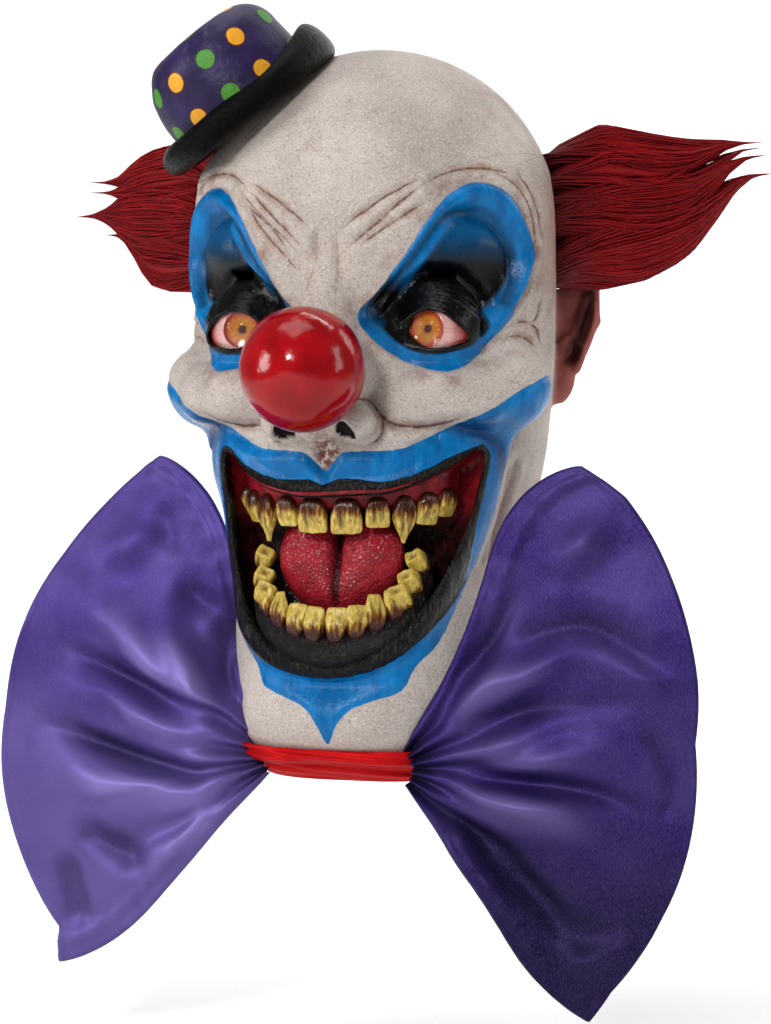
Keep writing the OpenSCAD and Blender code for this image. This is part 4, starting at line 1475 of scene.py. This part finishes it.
def foam_finish():
    f = Finish("grey_foam", Roughness=0.95)
    pores = f.cells(0.0012)
    f.set("Color", f.mix(f.step(pores, 0.1, 0.5), srgb(58, 58, 60), srgb(112, 112, 114)))
    f.relief(pores, 0.0006)
    return f.material


def revolved(profile, segments):
    """Solid of revolution about Z from (radius, height) points."""
    points = [(r * math.cos(2 * math.pi * k / segments), r * math.sin(2 * math.pi * k / segments), h)
              for r, h in profile for k in range(segments)]
    return np.array(points), grid_faces(len(profile), segments, wrap=True)


def dome_profile(inset, rows):
    """Half outline of the crown from its foot to the middle of its top."""
    shoulder, bulge = 20.0 - inset, HAT_R - 2
    side = [(HAT_R - inset + (bulge - HAT_R) * v * v, (HAT_H - 20) * v) for v in np.linspace(0, 1, rows)]
    turn = [(bulge - 20 + shoulder * math.cos(a), HAT_H - 20 + shoulder * math.sin(a))
            for a in np.linspace(0, math.pi / 2, rows)[1:]]
    top = [(r, HAT_H - inset + 0.5 * (1 - (r / 19) ** 2)) for r in np.linspace(bulge - 20, 0.4, 14)[1:]]
    return side + turn + top


def make_crown():
    outer = dome_profile(0, 26)
    inner = dome_profile(2.2, 16)[::-1]
    points, faces = revolved(outer + inner, 220)
    flat = np.hypot(points[:, 0], points[:, 1])
    turn = np.arctan2(points[:, 1], points[:, 0])
    dots = {"dot_yellow": np.full(len(points), 9.0), "dot_green": np.full(len(points), 9.0)}
    for i, bearing_at in enumerate(DOT_COLUMNS):
        name = "dot_green" if i % 2 else "dot_yellow"
        for row in DOT_ROWS:
            away = (turn - math.radians(bearing_at) + math.pi) % (2 * math.pi) - math.pi
            away = np.hypot(away * np.maximum(flat, 20), (points[:, 2] - row) * 1.02)
            dots[name] = np.minimum(dots[name], away - DOT_R)
    for i, (bearing_at, radius) in enumerate(TOP_DOTS):
        name = "dot_yellow" if i % 2 == 0 else "dot_green"
        at = (radius * math.cos(math.radians(bearing_at)), radius * math.sin(math.radians(bearing_at)))
        away = np.hypot(points[:, 0] - at[0], points[:, 1] - at[1]) + 3 * (points[:, 2] < 40)
        dots[name] = np.minimum(dots[name], away - DOT_R)
    mesh = mesh_from("hat_crown_painted", hat_place(crown_swell(*points.T)), faces)
    for name, values in dots.items():
        store(mesh, name, values)
    add_piece("hat_crown_painted", mesh, hat_finish(), "hat_crown")


def make_brim():
    """Rolled brim that curls up at one side."""
    segments = 180
    section = [(34, -3), (42, -4.2), (50, -4.8), (55, -2.5), (57, 2.5), (56, 7.5), (52.5, 10.5),
               (48.5, 10), (45.5, 7.5), (43.6, 4), (42.5, 1), (37, -0.5)]
    outline = spline(section, True, 5)
    points, faces = revolved(outline, segments)
    last = (len(outline) - 1) * segments
    faces += [(last + k, last + (k + 1) % segments, (k + 1) % segments, k) for k in range(segments)]
    turn = np.degrees(np.arctan2(points[:, 1], points[:, 0]))
    curl = np.exp(-((turn + 4) / 34) ** 2)
    high = smooth_step(-2, 12, points[:, 2])
    points[:, 2] += curl * high * 9
    points[:, :2] *= (1 - 0.035 * curl * high)[:, None]
    wave = 0.7 * np.sin(np.radians(turn) * 3 + 1) + 0.4 * np.sin(np.radians(turn) * 7)
    points[:, 2] += wave * high
    brim = mesh_from("hat_brim_painted", hat_place(points), faces)
    add_piece("hat_brim_painted", brim, brim_finish(), "hat_brim")


def make_core():
    points, faces = revolved([(0.4, 2)] + [(r, 2) for r in (12, 24, 34)] + dome_profile(3.2, 14)[2:], 96)
    core = mesh_from("hat_core_foam", hat_place(points), faces)
    add_piece("hat_core_foam", core, foam_finish(), "hat_core")


# ================================================================ bands on the head

def on_head(turn, z, offset):
    """Points at an offset from the plain head, at a polar bearing from +X and a height."""
    c, s = np.cos(turn), np.sin(turn)
    r = np.full(np.broadcast(turn, z).shape, 80.0)
    for _ in range(14):
        r = r + offset - head_distance(r * c, r * s, z)
    return np.stack([r * c, r * s, np.broadcast_to(z, r.shape)], -1)


def head_strip(name, turns, heights, offsets, columns, rows, ripple=None):
    """Closed strip that follows the head, as a mesh."""
    turn = np.radians(np.linspace(*turns, columns))[None, :]
    z = np.linspace(*heights, rows)[:, None]
    shift = ripple(turn, z) if ripple else 0.0
    low = on_head(turn, z, offsets[0] + 0 * turn * z)
    high = on_head(turn, z, offsets[1] + shift + 0 * turn * z)
    points = np.concatenate([low.reshape(-1, 3), high.reshape(-1, 3)])
    mesh = mesh_from(name, points, sheet_faces(rows, columns, False))
    across = np.concatenate([np.repeat(np.linspace(0, 1, rows), columns)] * 2)
    store(mesh, "across", across)
    return mesh


def satin_finish(name, dark, mid, light, gloss=0.5):
    """Satin: broad sheen, fine weave and small creases, with painted highlight and painted shade from the
    numbers stored on a piece.
    """
    f = Finish(name, Roughness=0.5, IOR=1.5, Specular=gloss, Metallic=0.5)
    f.set("Specular Tint", light)
    cloud = f.noise(0.03, 3, 0.5)
    color = f.mix(f.step(cloud, 0.3, 0.7, 0.0, 0.12), mid, light)
    # painted highlight towards the light colour, then painted shade towards the dark one
    color = f.mix(f.attribute("painted_light"), color, light)
    color = f.mix(f.attribute("shade"), color, dark)
    thread = f.noise(0.0005, 2, 0.6, at=f.stretched((1, 1, 0.3)))
    color = f.mix(f.step(thread, 0.35, 0.75, 0.0, 0.10), color, light)
    f.set("Color", color)
    first = f.relief(thread, 0.00008)
    f.relief(f.noise(0.022, 2, 0.4, twist=0.5), 0.0008, first)
    return f


def make_bow_band():
    def ripple(turn, z):
        folds = 0.9 * np.sin((z + 249) * 0.75 + 1.1 * np.sin(turn * 5.0)) + 0.5 * np.sin(z * 1.6 + turn * 9)
        pinch = 0.8 * np.sin(turn * 26) * smooth_step(0.45, 0.7, np.abs(turn + math.pi / 2))
        edge = -1.6 * (np.abs(z + 249.5) / 9) ** 4
        return folds + pinch + edge

    mesh = head_strip("bow_band_satin", (-134, -46), (-259.5, -241), (2.0, 5.6), 150, 26, ripple)
    f = satin_finish("red_satin", srgb(96, 6, 10), srgb(184, 16, 22), srgb(220, 60, 56), 0.22)
    piece = add_piece("bow_band_satin", mesh, f.material, "bow_band")


def make_elastic():
    def ripple(turn, z):
        return 0.35 * np.sin((z + 250) * 2 * math.pi / 2.4)

    mesh = head_strip("neck_elastic_woven", (-57, 237), (-256, -244), (0.3, 1.7), 200, 22, ripple)
    f = Finish("black_elastic", Roughness=0.8)
    ribs = f.step(f.math("SINE", f.math("MULTIPLY", f.attribute("across"), 31.4)), -1, 1)
    weave = f.noise(0.0008, 2)
    f.set("Color", f.mix(f.math("MULTIPLY", ribs, weave), srgb(14, 14, 15), srgb(58, 58, 62)))
    f.relief(weave, 0.0003)
    piece = add_piece("neck_elastic_woven", mesh, f.material, "neck_elastic")


# ================================================================ hair

TUFT_AT = np.array([103.0, 22.0, 40.0])
TUFT_SWEEP = math.radians(29)
STRAND_STEPS = 12
BODY_SIDES = 36
# Upper and lower edge of each tuft as (reach, height) from its pivot
HAIR_EDGES = {
    1: ([(-10, 36), (-3, 44), (14, 51), (30, 48), (47, 45), (66, 43), (90, 45), (116, 41)],
        [(-10, -37), (16, -38), (39, -33), (56, -24), (81, -10), (102, 10), (116, 28)]),
    -1: ([(-10, 34), (0, 44), (20, 48), (44, 45), (66, 38), (84, 30), (112, 26)],
         [(-10, -33), (14, -37), (34, -37), (50, -33), (70, -22), (86, -10), (112, 0)]),
}
# Locks from the lowest up: share of the height they take, and their tip as (reach, height)
HAIR_LOCKS = {
    1: [(0.0, 0.36, 113, 26), (0.36, 0.62, 109, 36), (0.55, 0.66, 106, 40), (0.66, 0.80, 82, 36),
        (0.80, 1.0, 107, 43)],
    -1: [(0.0, 0.26, 88, -3), (0.26, 0.68, 106, 8), (0.68, 0.80, 98, 22), (0.78, 1.0, 98, 28)],
}


def strand(side, lock, share, depth, reach, sway=0.0, kinks=(0.0, 0.0, 0.0)):
    """Middle line of one fibre in the tuft's own axes, from its place in its lock and its reach."""
    top, low = (np.array(edge, float).T for edge in HAIR_EDGES[side])
    t = np.linspace(0, 1, STRAND_STEPS)
    v = np.clip(lock[0] + (lock[1] - lock[0]) * share + sway * np.sin(math.pi * t), 0, 1)
    x = -8 + (reach + 8) * t
    low_z, top_z = np.interp(x, *low), np.interp(x, *top)
    narrow = smooth_step(0.5 * lock[2], lock[2], x) ** 1.2
    z = (low_z + (top_z - low_z) * v) * (1 - narrow) + lock[3] * narrow
    body = 17 * np.sin(math.pi * np.clip(0.22 + 0.5 * x / 100, 0, 1)) * (1 - 0.92 * narrow)
    y = depth * body * np.sqrt(np.clip(1 - (2 * v - 1) ** 2 * 0.75, 0, 1))
    wave = np.sin(t * 7 + kinks[0] * 3) * (0.6 + 0.5 * kinks[1]) * t
    z = z + 1.3 * wave * (1 - narrow) * np.minimum(1, 5 * v * (1 - v))
    y = y + 0.9 * np.cos(t * 6 + kinks[2] * 3) * t
    y = y + (0 if side > 0 else -0.0019 * np.maximum(x, 0) ** 2)
    return np.column_stack([x, y, z])


def make_strand_paths(side, rng, count):
    """Fibres over the locks' faces, in wisps of nine, with each one's tone."""
    locks = HAIR_LOCKS[side]
    weights = np.array([lock[1] - lock[0] for lock in locks])
    paths, tones = [], []
    for i in range(count):
        if i % 9 == 0:
            lock = locks[int(rng.choice(len(locks), p=weights / weights.sum()))]
            turn, full, tone = rng.uniform(0, 2 * math.pi), rng.uniform(0.7, 1.0), rng.uniform(-0.3, 0.3)
            kinks, sway = rng.normal(0, 1, 3), rng.uniform(-0.16, 0.16)
        a, q = turn + rng.normal(0, 0.22), rng.uniform(0.86, 1.06)
        share = np.clip(0.5 + 0.5 * q * math.cos(a), 0, 1)
        reach = lock[2] * min(1.0, full + rng.uniform(-0.05, 0.09))
        if abs(share - 0.5) < 0.22:
            reach = max(reach, lock[2] * rng.uniform(0.9, 1.0))
        paths.append(strand(side, lock, share, 0.95 * q * math.sin(a), reach, sway, kinks))
        tones.append(np.clip(0.5 + tone + rng.normal(0, 0.12), 0, 1))
    return paths, tones


def lock_bodies(side):
    """Lines round the solid middle of each lock, which fills the gaps between its fibres."""
    return [strand(side, lock, 0.5 + 0.48 * math.cos(a), 0.84 * math.sin(a), 0.97 * lock[2])
            for lock in HAIR_LOCKS[side] for a in np.linspace(0, 2 * math.pi, BODY_SIDES + 1)[:-1]]


def fibre_points(lines, radius):
    """Corners of a flat three-sided fibre round each line, tapering to its tip."""
    taper = np.interp(np.linspace(0, 1, STRAND_STEPS), [0, 0.1, 0.7, 1], [0.7, 1.0, 0.85, 0.12])
    along = np.gradient(lines, axis=1)
    along /= np.linalg.norm(along, axis=2, keepdims=True)
    up = (0.0, 0.3, 1.0)
    first = np.cross(along, up)
    first /= np.linalg.norm(first, axis=2, keepdims=True)
    second = np.cross(along, first)
    rings = []
    for k in range(3):
        a = 2 * math.pi * k / 3
        flat = first * (0.7 * math.cos(a)) + second * (1.5 * math.sin(a))
        rings.append(lines + flat * (radius[:, None] * taper)[..., None])
    return np.stack(rings, 2).reshape(-1, 3)


def make_tuft(side, name, finish):
    rng = np.random.default_rng(41 + side)
    count = 2900
    paths, tones = make_strand_paths(side, rng, count)
    paths = np.array(paths + lock_bodies(side))
    # the roots sit on the sewn base that follows the scalp
    c, s = math.cos(TUFT_SWEEP), math.sin(TUFT_SWEEP)
    world = np.empty_like(paths)
    world[..., 0] = side * (TUFT_AT[0] + paths[..., 0] * c - paths[..., 1] * s)
    world[..., 1] = TUFT_AT[1] + paths[..., 0] * s + paths[..., 1] * c
    world[..., 2] = TUFT_AT[2] + paths[..., 2]
    share = (paths[:, 0, 2] + 31) / 61
    depth = paths[:, 3, 1] / 15
    turn = np.radians(12 + 18 * np.clip(depth, -1, 1))
    turn = turn if side > 0 else math.pi - turn
    root = on_head(turn, 3 + 70 * np.clip(share, 0, 1), 2.0 + 0 * turn)
    grip = smooth_step(14, -8, paths[..., 0])[..., None]
    world = world * (1 - grip) + (root[:, None, :] + (world - world[:, :1]) * 0.45) * grip
    bodies, world = world[count:], world[:count]
    radius = rng.uniform(0.30, 0.48, count) * 1.0
    steps = STRAND_STEPS
    points = fibre_points(world, radius)
    one = np.array(grid_faces(steps, 3, wrap=True))
    cap = np.array([[0, 1, 2, 2], [steps * 3 - 1, steps * 3 - 2, steps * 3 - 3, steps * 3 - 3]])
    offsets = np.arange(count) * steps * 3
    faces = [tuple(f) for o in offsets for f in (one + o)]
    faces += [tuple(f[:3]) for o in offsets for f in (cap + o)]
    base = len(points)
    for _ in HAIR_LOCKS[side]:
        rows = [tuple(i + base for i in face) for face in grid_faces(steps, BODY_SIDES, wrap=True)]
        faces += rows + [tuple(range(base, base + BODY_SIDES))[::-1]]
        faces.append(tuple(range(base + (steps - 1) * BODY_SIDES, base + steps * BODY_SIDES)))
        base += steps * BODY_SIDES
    inner = bodies.reshape(-1, BODY_SIDES, steps, 3).transpose(0, 2, 1, 3).reshape(-1, 3)
    mesh = mesh_from("hair_tuft_" + name + "_fibres", np.concatenate([points, inner]), faces)
    store(mesh, "tone", np.concatenate([np.repeat(tones, steps * 3), np.full(len(inner), 0.4)]))
    along = np.tile(np.repeat(np.linspace(0, 1, steps), 3), count)
    deep = np.tile(np.repeat(np.linspace(0, 1, steps), BODY_SIDES), len(HAIR_LOCKS[side]))
    store(mesh, "along", np.concatenate([along, deep]))
    mesh.materials.append(finish)
    piece = add_object("hair_tuft_" + name + "_fibres", mesh, None)
    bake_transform(piece)
    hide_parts("hair_tuft_" + name)


def hair_finish():
    f = Finish("red_fibres", Roughness=0.55, IOR=1.4, Specular=0.25)
    tone = f.attribute("tone")
    along = f.attribute("along")
    red = f.mix(tone, srgb(120, 8, 14), srgb(160, 12, 22))
    fine = f.noise(0.0012, 3, 0.6, at=f.stretched((0.07, 0.07, 1)))
    red = f.mix(f.step(fine, 0.4, 0.7, 0.0, 0.5), red, srgb(70, 4, 9))
    # painted shade: the fibres darken towards their roots, where they crowd on the base
    red = f.mix(f.step(along, 0.26, 0.02), red, srgb(84, 6, 11))
    streak = f.noise(0.004, 3, 0.6, at=f.stretched((0.2, 0.2, 1)))
    red = f.mix(f.step(streak, 0.55, 0.8, 0.0, 0.3), red, srgb(176, 30, 38))
    f.set("Color", red)
    f.relief(fine, 0.0006, f.relief(streak, 0.0004))
    return f.material


def make_hair_base(side, name, finish):
    turns = (0, 30) if side > 0 else (150, 180)
    mesh = head_strip("hair_base_" + name + "_woven", turns, (7, 73), (0.3, 1.3), 40, 50)
    piece = add_piece("hair_base_" + name + "_woven", mesh, finish, "hair_base_" + name)


def make_hair():
    fibres = hair_finish()
    f = Finish("woven_base", Roughness=0.9)
    weave = f.step(f.math("SINE", f.math("MULTIPLY", f.attribute("across"), 160)), -1, 1)
    f.set("Color", f.mix(f.math("MULTIPLY", weave, f.noise(0.001, 2)), srgb(58, 7, 10), srgb(96, 12, 16)))
    f.relief(weave, 0.0006)
    for side, name in ((-1, "left"), (1, "right")):
        make_tuft(side, name, fibres)
        make_hair_base(side, name, f.material)


# ================================================================ bow wings

GATHER_AT = np.array([55.0, -84.0, -250.0])
POLE_IN = 14.0
# How far inwards the satin is gathered, to meet the chin
WING_SHIFT = {-1: 8.0, 1: 8.0}
# How far behind the joint each gather starts: beside the chin on the left, in front of it on the right
GATHER_BACK = {-1: 16.0, 1: 2.0}
# Outer edge of each wing as (bearing from its pole, reach)
WING_EDGES = {
    -1: [(-44, 167), (-39, 154), (-21, 154), (9, 153), (27, 156), (42, 161), (54, 167), (67, 175)],
    1: [(-53, 160), (-46, 155), (-28, 152), (7, 152), (18, 160), (37, 171), (52, 181), (61, 181)],
}
# How far the lower and the upper edge bow out between the gather and the corners, in degrees
WING_BOWS = {-1: (8, 11.5), 1: (7, 9)}
# 1 bows the upper edge out evenly, and more keeps it straight near the gather
UPPER_BOW_POWER = {-1: 1.2, 1: 1.8}
# Folds as (height, width, line); lines are (outwards, up) from the gather
WING_FOLDS = {
    -1: [(9, 11, [(-5, 18), (21, 30), (46, 50), (70, 72), (89, 81), (103, 84)]),
         (-8, 6, [(-5, 19), (21, 24), (50, 36), (74, 46), (99, 59), (117, 67)]),
         (6, 10, [(8, 6), (37, 10), (62, 22), (88, 34), (118, 44)]),
         (-10, 7, [(30, -8), (60, -1), (84, 7), (103, 14), (122, 20)]),
         (8, 13, [(8, -6), (40, -16), (72, -16), (100, -8), (126, 2)]),
         (-3, 3, [(-7, 6), (21, -6), (41, -14), (80, -27), (104, -34)]),
         (-6, 10, [(62, -56), (84, -44)]), (-6, 9, [(95, -88), (101, -64)]),
         (5, 9, [(8, -12), (34, -44), (60, -66), (90, -82)]),
         (-9, 10, [(12, 30), (12, 55), (10, 74), (0, 96)]),
         (5, 6, [(10, 26), (24, 34), (27, 48), (36, 60), (48, 78)]),
         (-5, 8, [(24, 82), (30, 88)]), (-4, 9, [(44, 118), (46, 126)]), (-4, 7, [(70, 22), (76, 26)]),
         (5, 12, [(52, 130), (74, 112), (92, 100)])],
    1: [(10, 10, [(-8, 12), (14, 26), (35, 45), (58, 56), (76, 64), (88, 64)]),
        (-6, 9, [(30, 60), (58, 72), (84, 76), (108, 64), (130, 54)]),
        (4, 5, [(88, 62), (100, 56), (114, 50), (134, 49)]),
        (-4, 5, [(4, 17), (28, 26), (53, 33), (88, 38), (116, 40)]),
        (7, 13, [(0, 8), (40, 10), (80, 8), (108, 10)]),
        (-9, 6, [(-8, 4), (14, 0), (53, -5), (88, -9), (108, -16), (117, -32)]),
        (10, 12, [(6, -6), (36, -14), (70, -22), (104, -34)]),
        (-9, 9, [(-8, -4), (26, -34), (53, -62), (71, -80), (89, -85), (108, -84)]),
        (6, 9, [(80, -98), (100, -90)]),
        (-6, 6, [(8, 22), (26, 60), (40, 88), (53, 96)]),
        (6, 9, [(58, 100), (81, 123), (98, 136)]), (-4, 5, [(116, 22), (126, 0), (124, -14)]),
        (4, 5, [(0, -14), (20, -46), (40, -70)])],
}


def fold_ends(out, up, line):
    """Share that lets a fold die away at its ends, but not at the gather."""
    share = 1.0
    length = math.hypot(line[-1][0] - line[0][0], line[-1][1] - line[0][1])
    if length < 45:
        return share
    run = 0.55 * length
    for at in (line[0], line[-1]):
        if math.hypot(*at) > 34:
            share = share * smooth_step(-4, run, np.hypot(out - at[0], up - at[1]))
    return share


def wing_points(side, rows, columns):
    """Points of a wing's outer face, as a grid from its gather to its edge, with its height map."""
    edge_a, edge_r = np.array(WING_EDGES[side], float).T
    low_bow, high_bow = WING_BOWS[side]
    s = np.linspace(0, 1, rows)[:, None]
    t = np.linspace(0, 1, columns)[None, :]
    low = edge_a[0] - low_bow * np.sin(math.pi * s) ** 0.8
    high = edge_a[-1] + high_bow * np.sin(math.pi * s ** UPPER_BOW_POWER[side]) ** 0.8
    turn = low + (high - low) * t
    reach = np.interp(edge_a[0] + (edge_a[-1] - edge_a[0]) * t, edge_a, edge_r)
    r = POLE_IN - 3 + (reach - POLE_IN + 3) * s
    out = r * np.cos(np.radians(turn)) - POLE_IN
    up = r * np.sin(np.radians(turn))
    folds = Map((-30, 180), (-150, 190), 1.0)
    for height, width, line in WING_FOLDS[side]:
        near = folds.line_distance(spline(line), False, 3.2 * width)
        ends = fold_ends(*folds.grid(), line)
        if height > 0:
            folds.value += 1.35 * height * bump(near, width) * ends
        else:
            folds.value += 1.2 * height * bump(near, 0.85 * width) * ends
    folds.value = soften(folds.value)
    lift = folds.read(out, up) * smooth_step(0.02, 0.35, s) * (1 - 0.45 * smooth_step(0.82, 1, s))
    pleats = 2.6 * np.sin(t * 2 * math.pi * 5.5) * (1 - smooth_step(0.05, 0.45, s))
    ray = np.radians(turn)
    fine = np.sin(ray * 24 + 1.5 * np.sin(reach * s / 21))
    pleats += 1.1 * fine * np.sin(math.pi * np.clip(s * 1.3, 0, 1)) ** 2
    pleats += 0.8 * np.sin(ray * 11 + s * 9) * smooth_step(0.3, 0.8, s)
    return out, up, lift + pleats, s, t


def make_wing(side, name, finish):
    rows, columns = 130, 150
    out, up, lift, s, t = wing_points(side, rows, columns)
    border = np.minimum(np.minimum(t, 1 - t) * 2.2 * np.maximum(s, 0.1), 2 + 0 * s)
    hem = bump(border - 0.055, 0.022) + 0.8 * bump(border - 0.012, 0.014)
    rim = bump((1 - s) * 2.0 - 0.02, 0.02)
    pucker = 1 + 0.3 * np.sin(s * 52) * np.sin(s * 23 + 2)
    lift = lift + 2.0 * hem * pucker * smooth_step(0.08, 0.3, s) + 0.7 * rim
    pillow = 6 * np.sin(math.pi * np.clip(t, 0, 1)) ** 0.7 * np.sin(math.pi * np.clip(0.15 + 0.75 * s, 0, 1))
    back = GATHER_BACK[side]
    depth = GATHER_AT[1] + back + (8 - back) * smooth_step(0.02, 0.25, s) - pillow - lift
    depth = depth + 14 * s ** 2 * smooth_step(0.6, 1, t)
    if side < 0:
        depth = depth + 8 * smooth_step(0.1, 0.4, s) * smooth_step(0.6, 1, t)
    thick = 0.9 + (0.9 * hem + 0.6 * rim) * smooth_step(0.08, 0.3, s)
    x = side * (GATHER_AT[0] + out - WING_SHIFT[side] * smooth_step(0.6, 0.05, s))
    z = GATHER_AT[2] + up
    front = np.stack([x, depth, z], -1).reshape(-1, 3)
    rear = np.stack([x, depth + thick, z], -1).reshape(-1, 3)
    faces = sheet_faces(rows, columns, True)
    mesh = mesh_from("wing_" + name + "_satin", np.concatenate([front, rear]), faces)
    # painted shade: darker in the fold valleys and in the gather, and over the whole right wing, more
    # towards its lower edge
    shade = 0.85 * smooth_step(2, -12, lift) + 0.6 * smooth_step(0.12, 0.0, s + 0 * t)
    if side > 0:
        shade = shade + 0.34 + 0.55 * smooth_step(0, -100, up)
    store(mesh, "shade", np.tile(np.clip(shade, 0, 0.9).ravel(), 2))
    # painted highlight: lighter on the fold ridges, and over the whole left wing, more towards its lower
    # part
    painted_light = 0.62 * smooth_step(3, 15, lift)
    if side < 0:
        painted_light = painted_light + 0.07 + 0.22 * smooth_step(60, -30, up)
    store(mesh, "painted_light", np.tile(painted_light.ravel(), 2))
    wing = "wing_" + name
    piece = add_piece(wing + "_satin", mesh, finish, wing, wing)


def make_wings():
    # the dark colour is the wings' painted shade and the light one their painted highlight, also used for
    # the cloud, the weave and the sheen's tint
    f = satin_finish("purple_satin", srgb(12, 6, 32), srgb(51, 31, 107), srgb(146, 130, 196))
    make_wing(-1, "left", f.material)
    make_wing(1, "right", f.material)


make_camera()
make_studio()
FACE = Face()
OPENING = Map((-70, 70), (-80, 80))
OPENING.value = OPENING.line_distance(spline(LID_OPENING, True), True, 20)
make_skin(FACE, OPENING)
make_eyes()
make_nose()
make_liner()
make_gums()
make_teeth()
make_tongue()
make_crown()
make_brim()
make_core()
make_bow_band()
make_elastic()
make_hair()
make_wings()
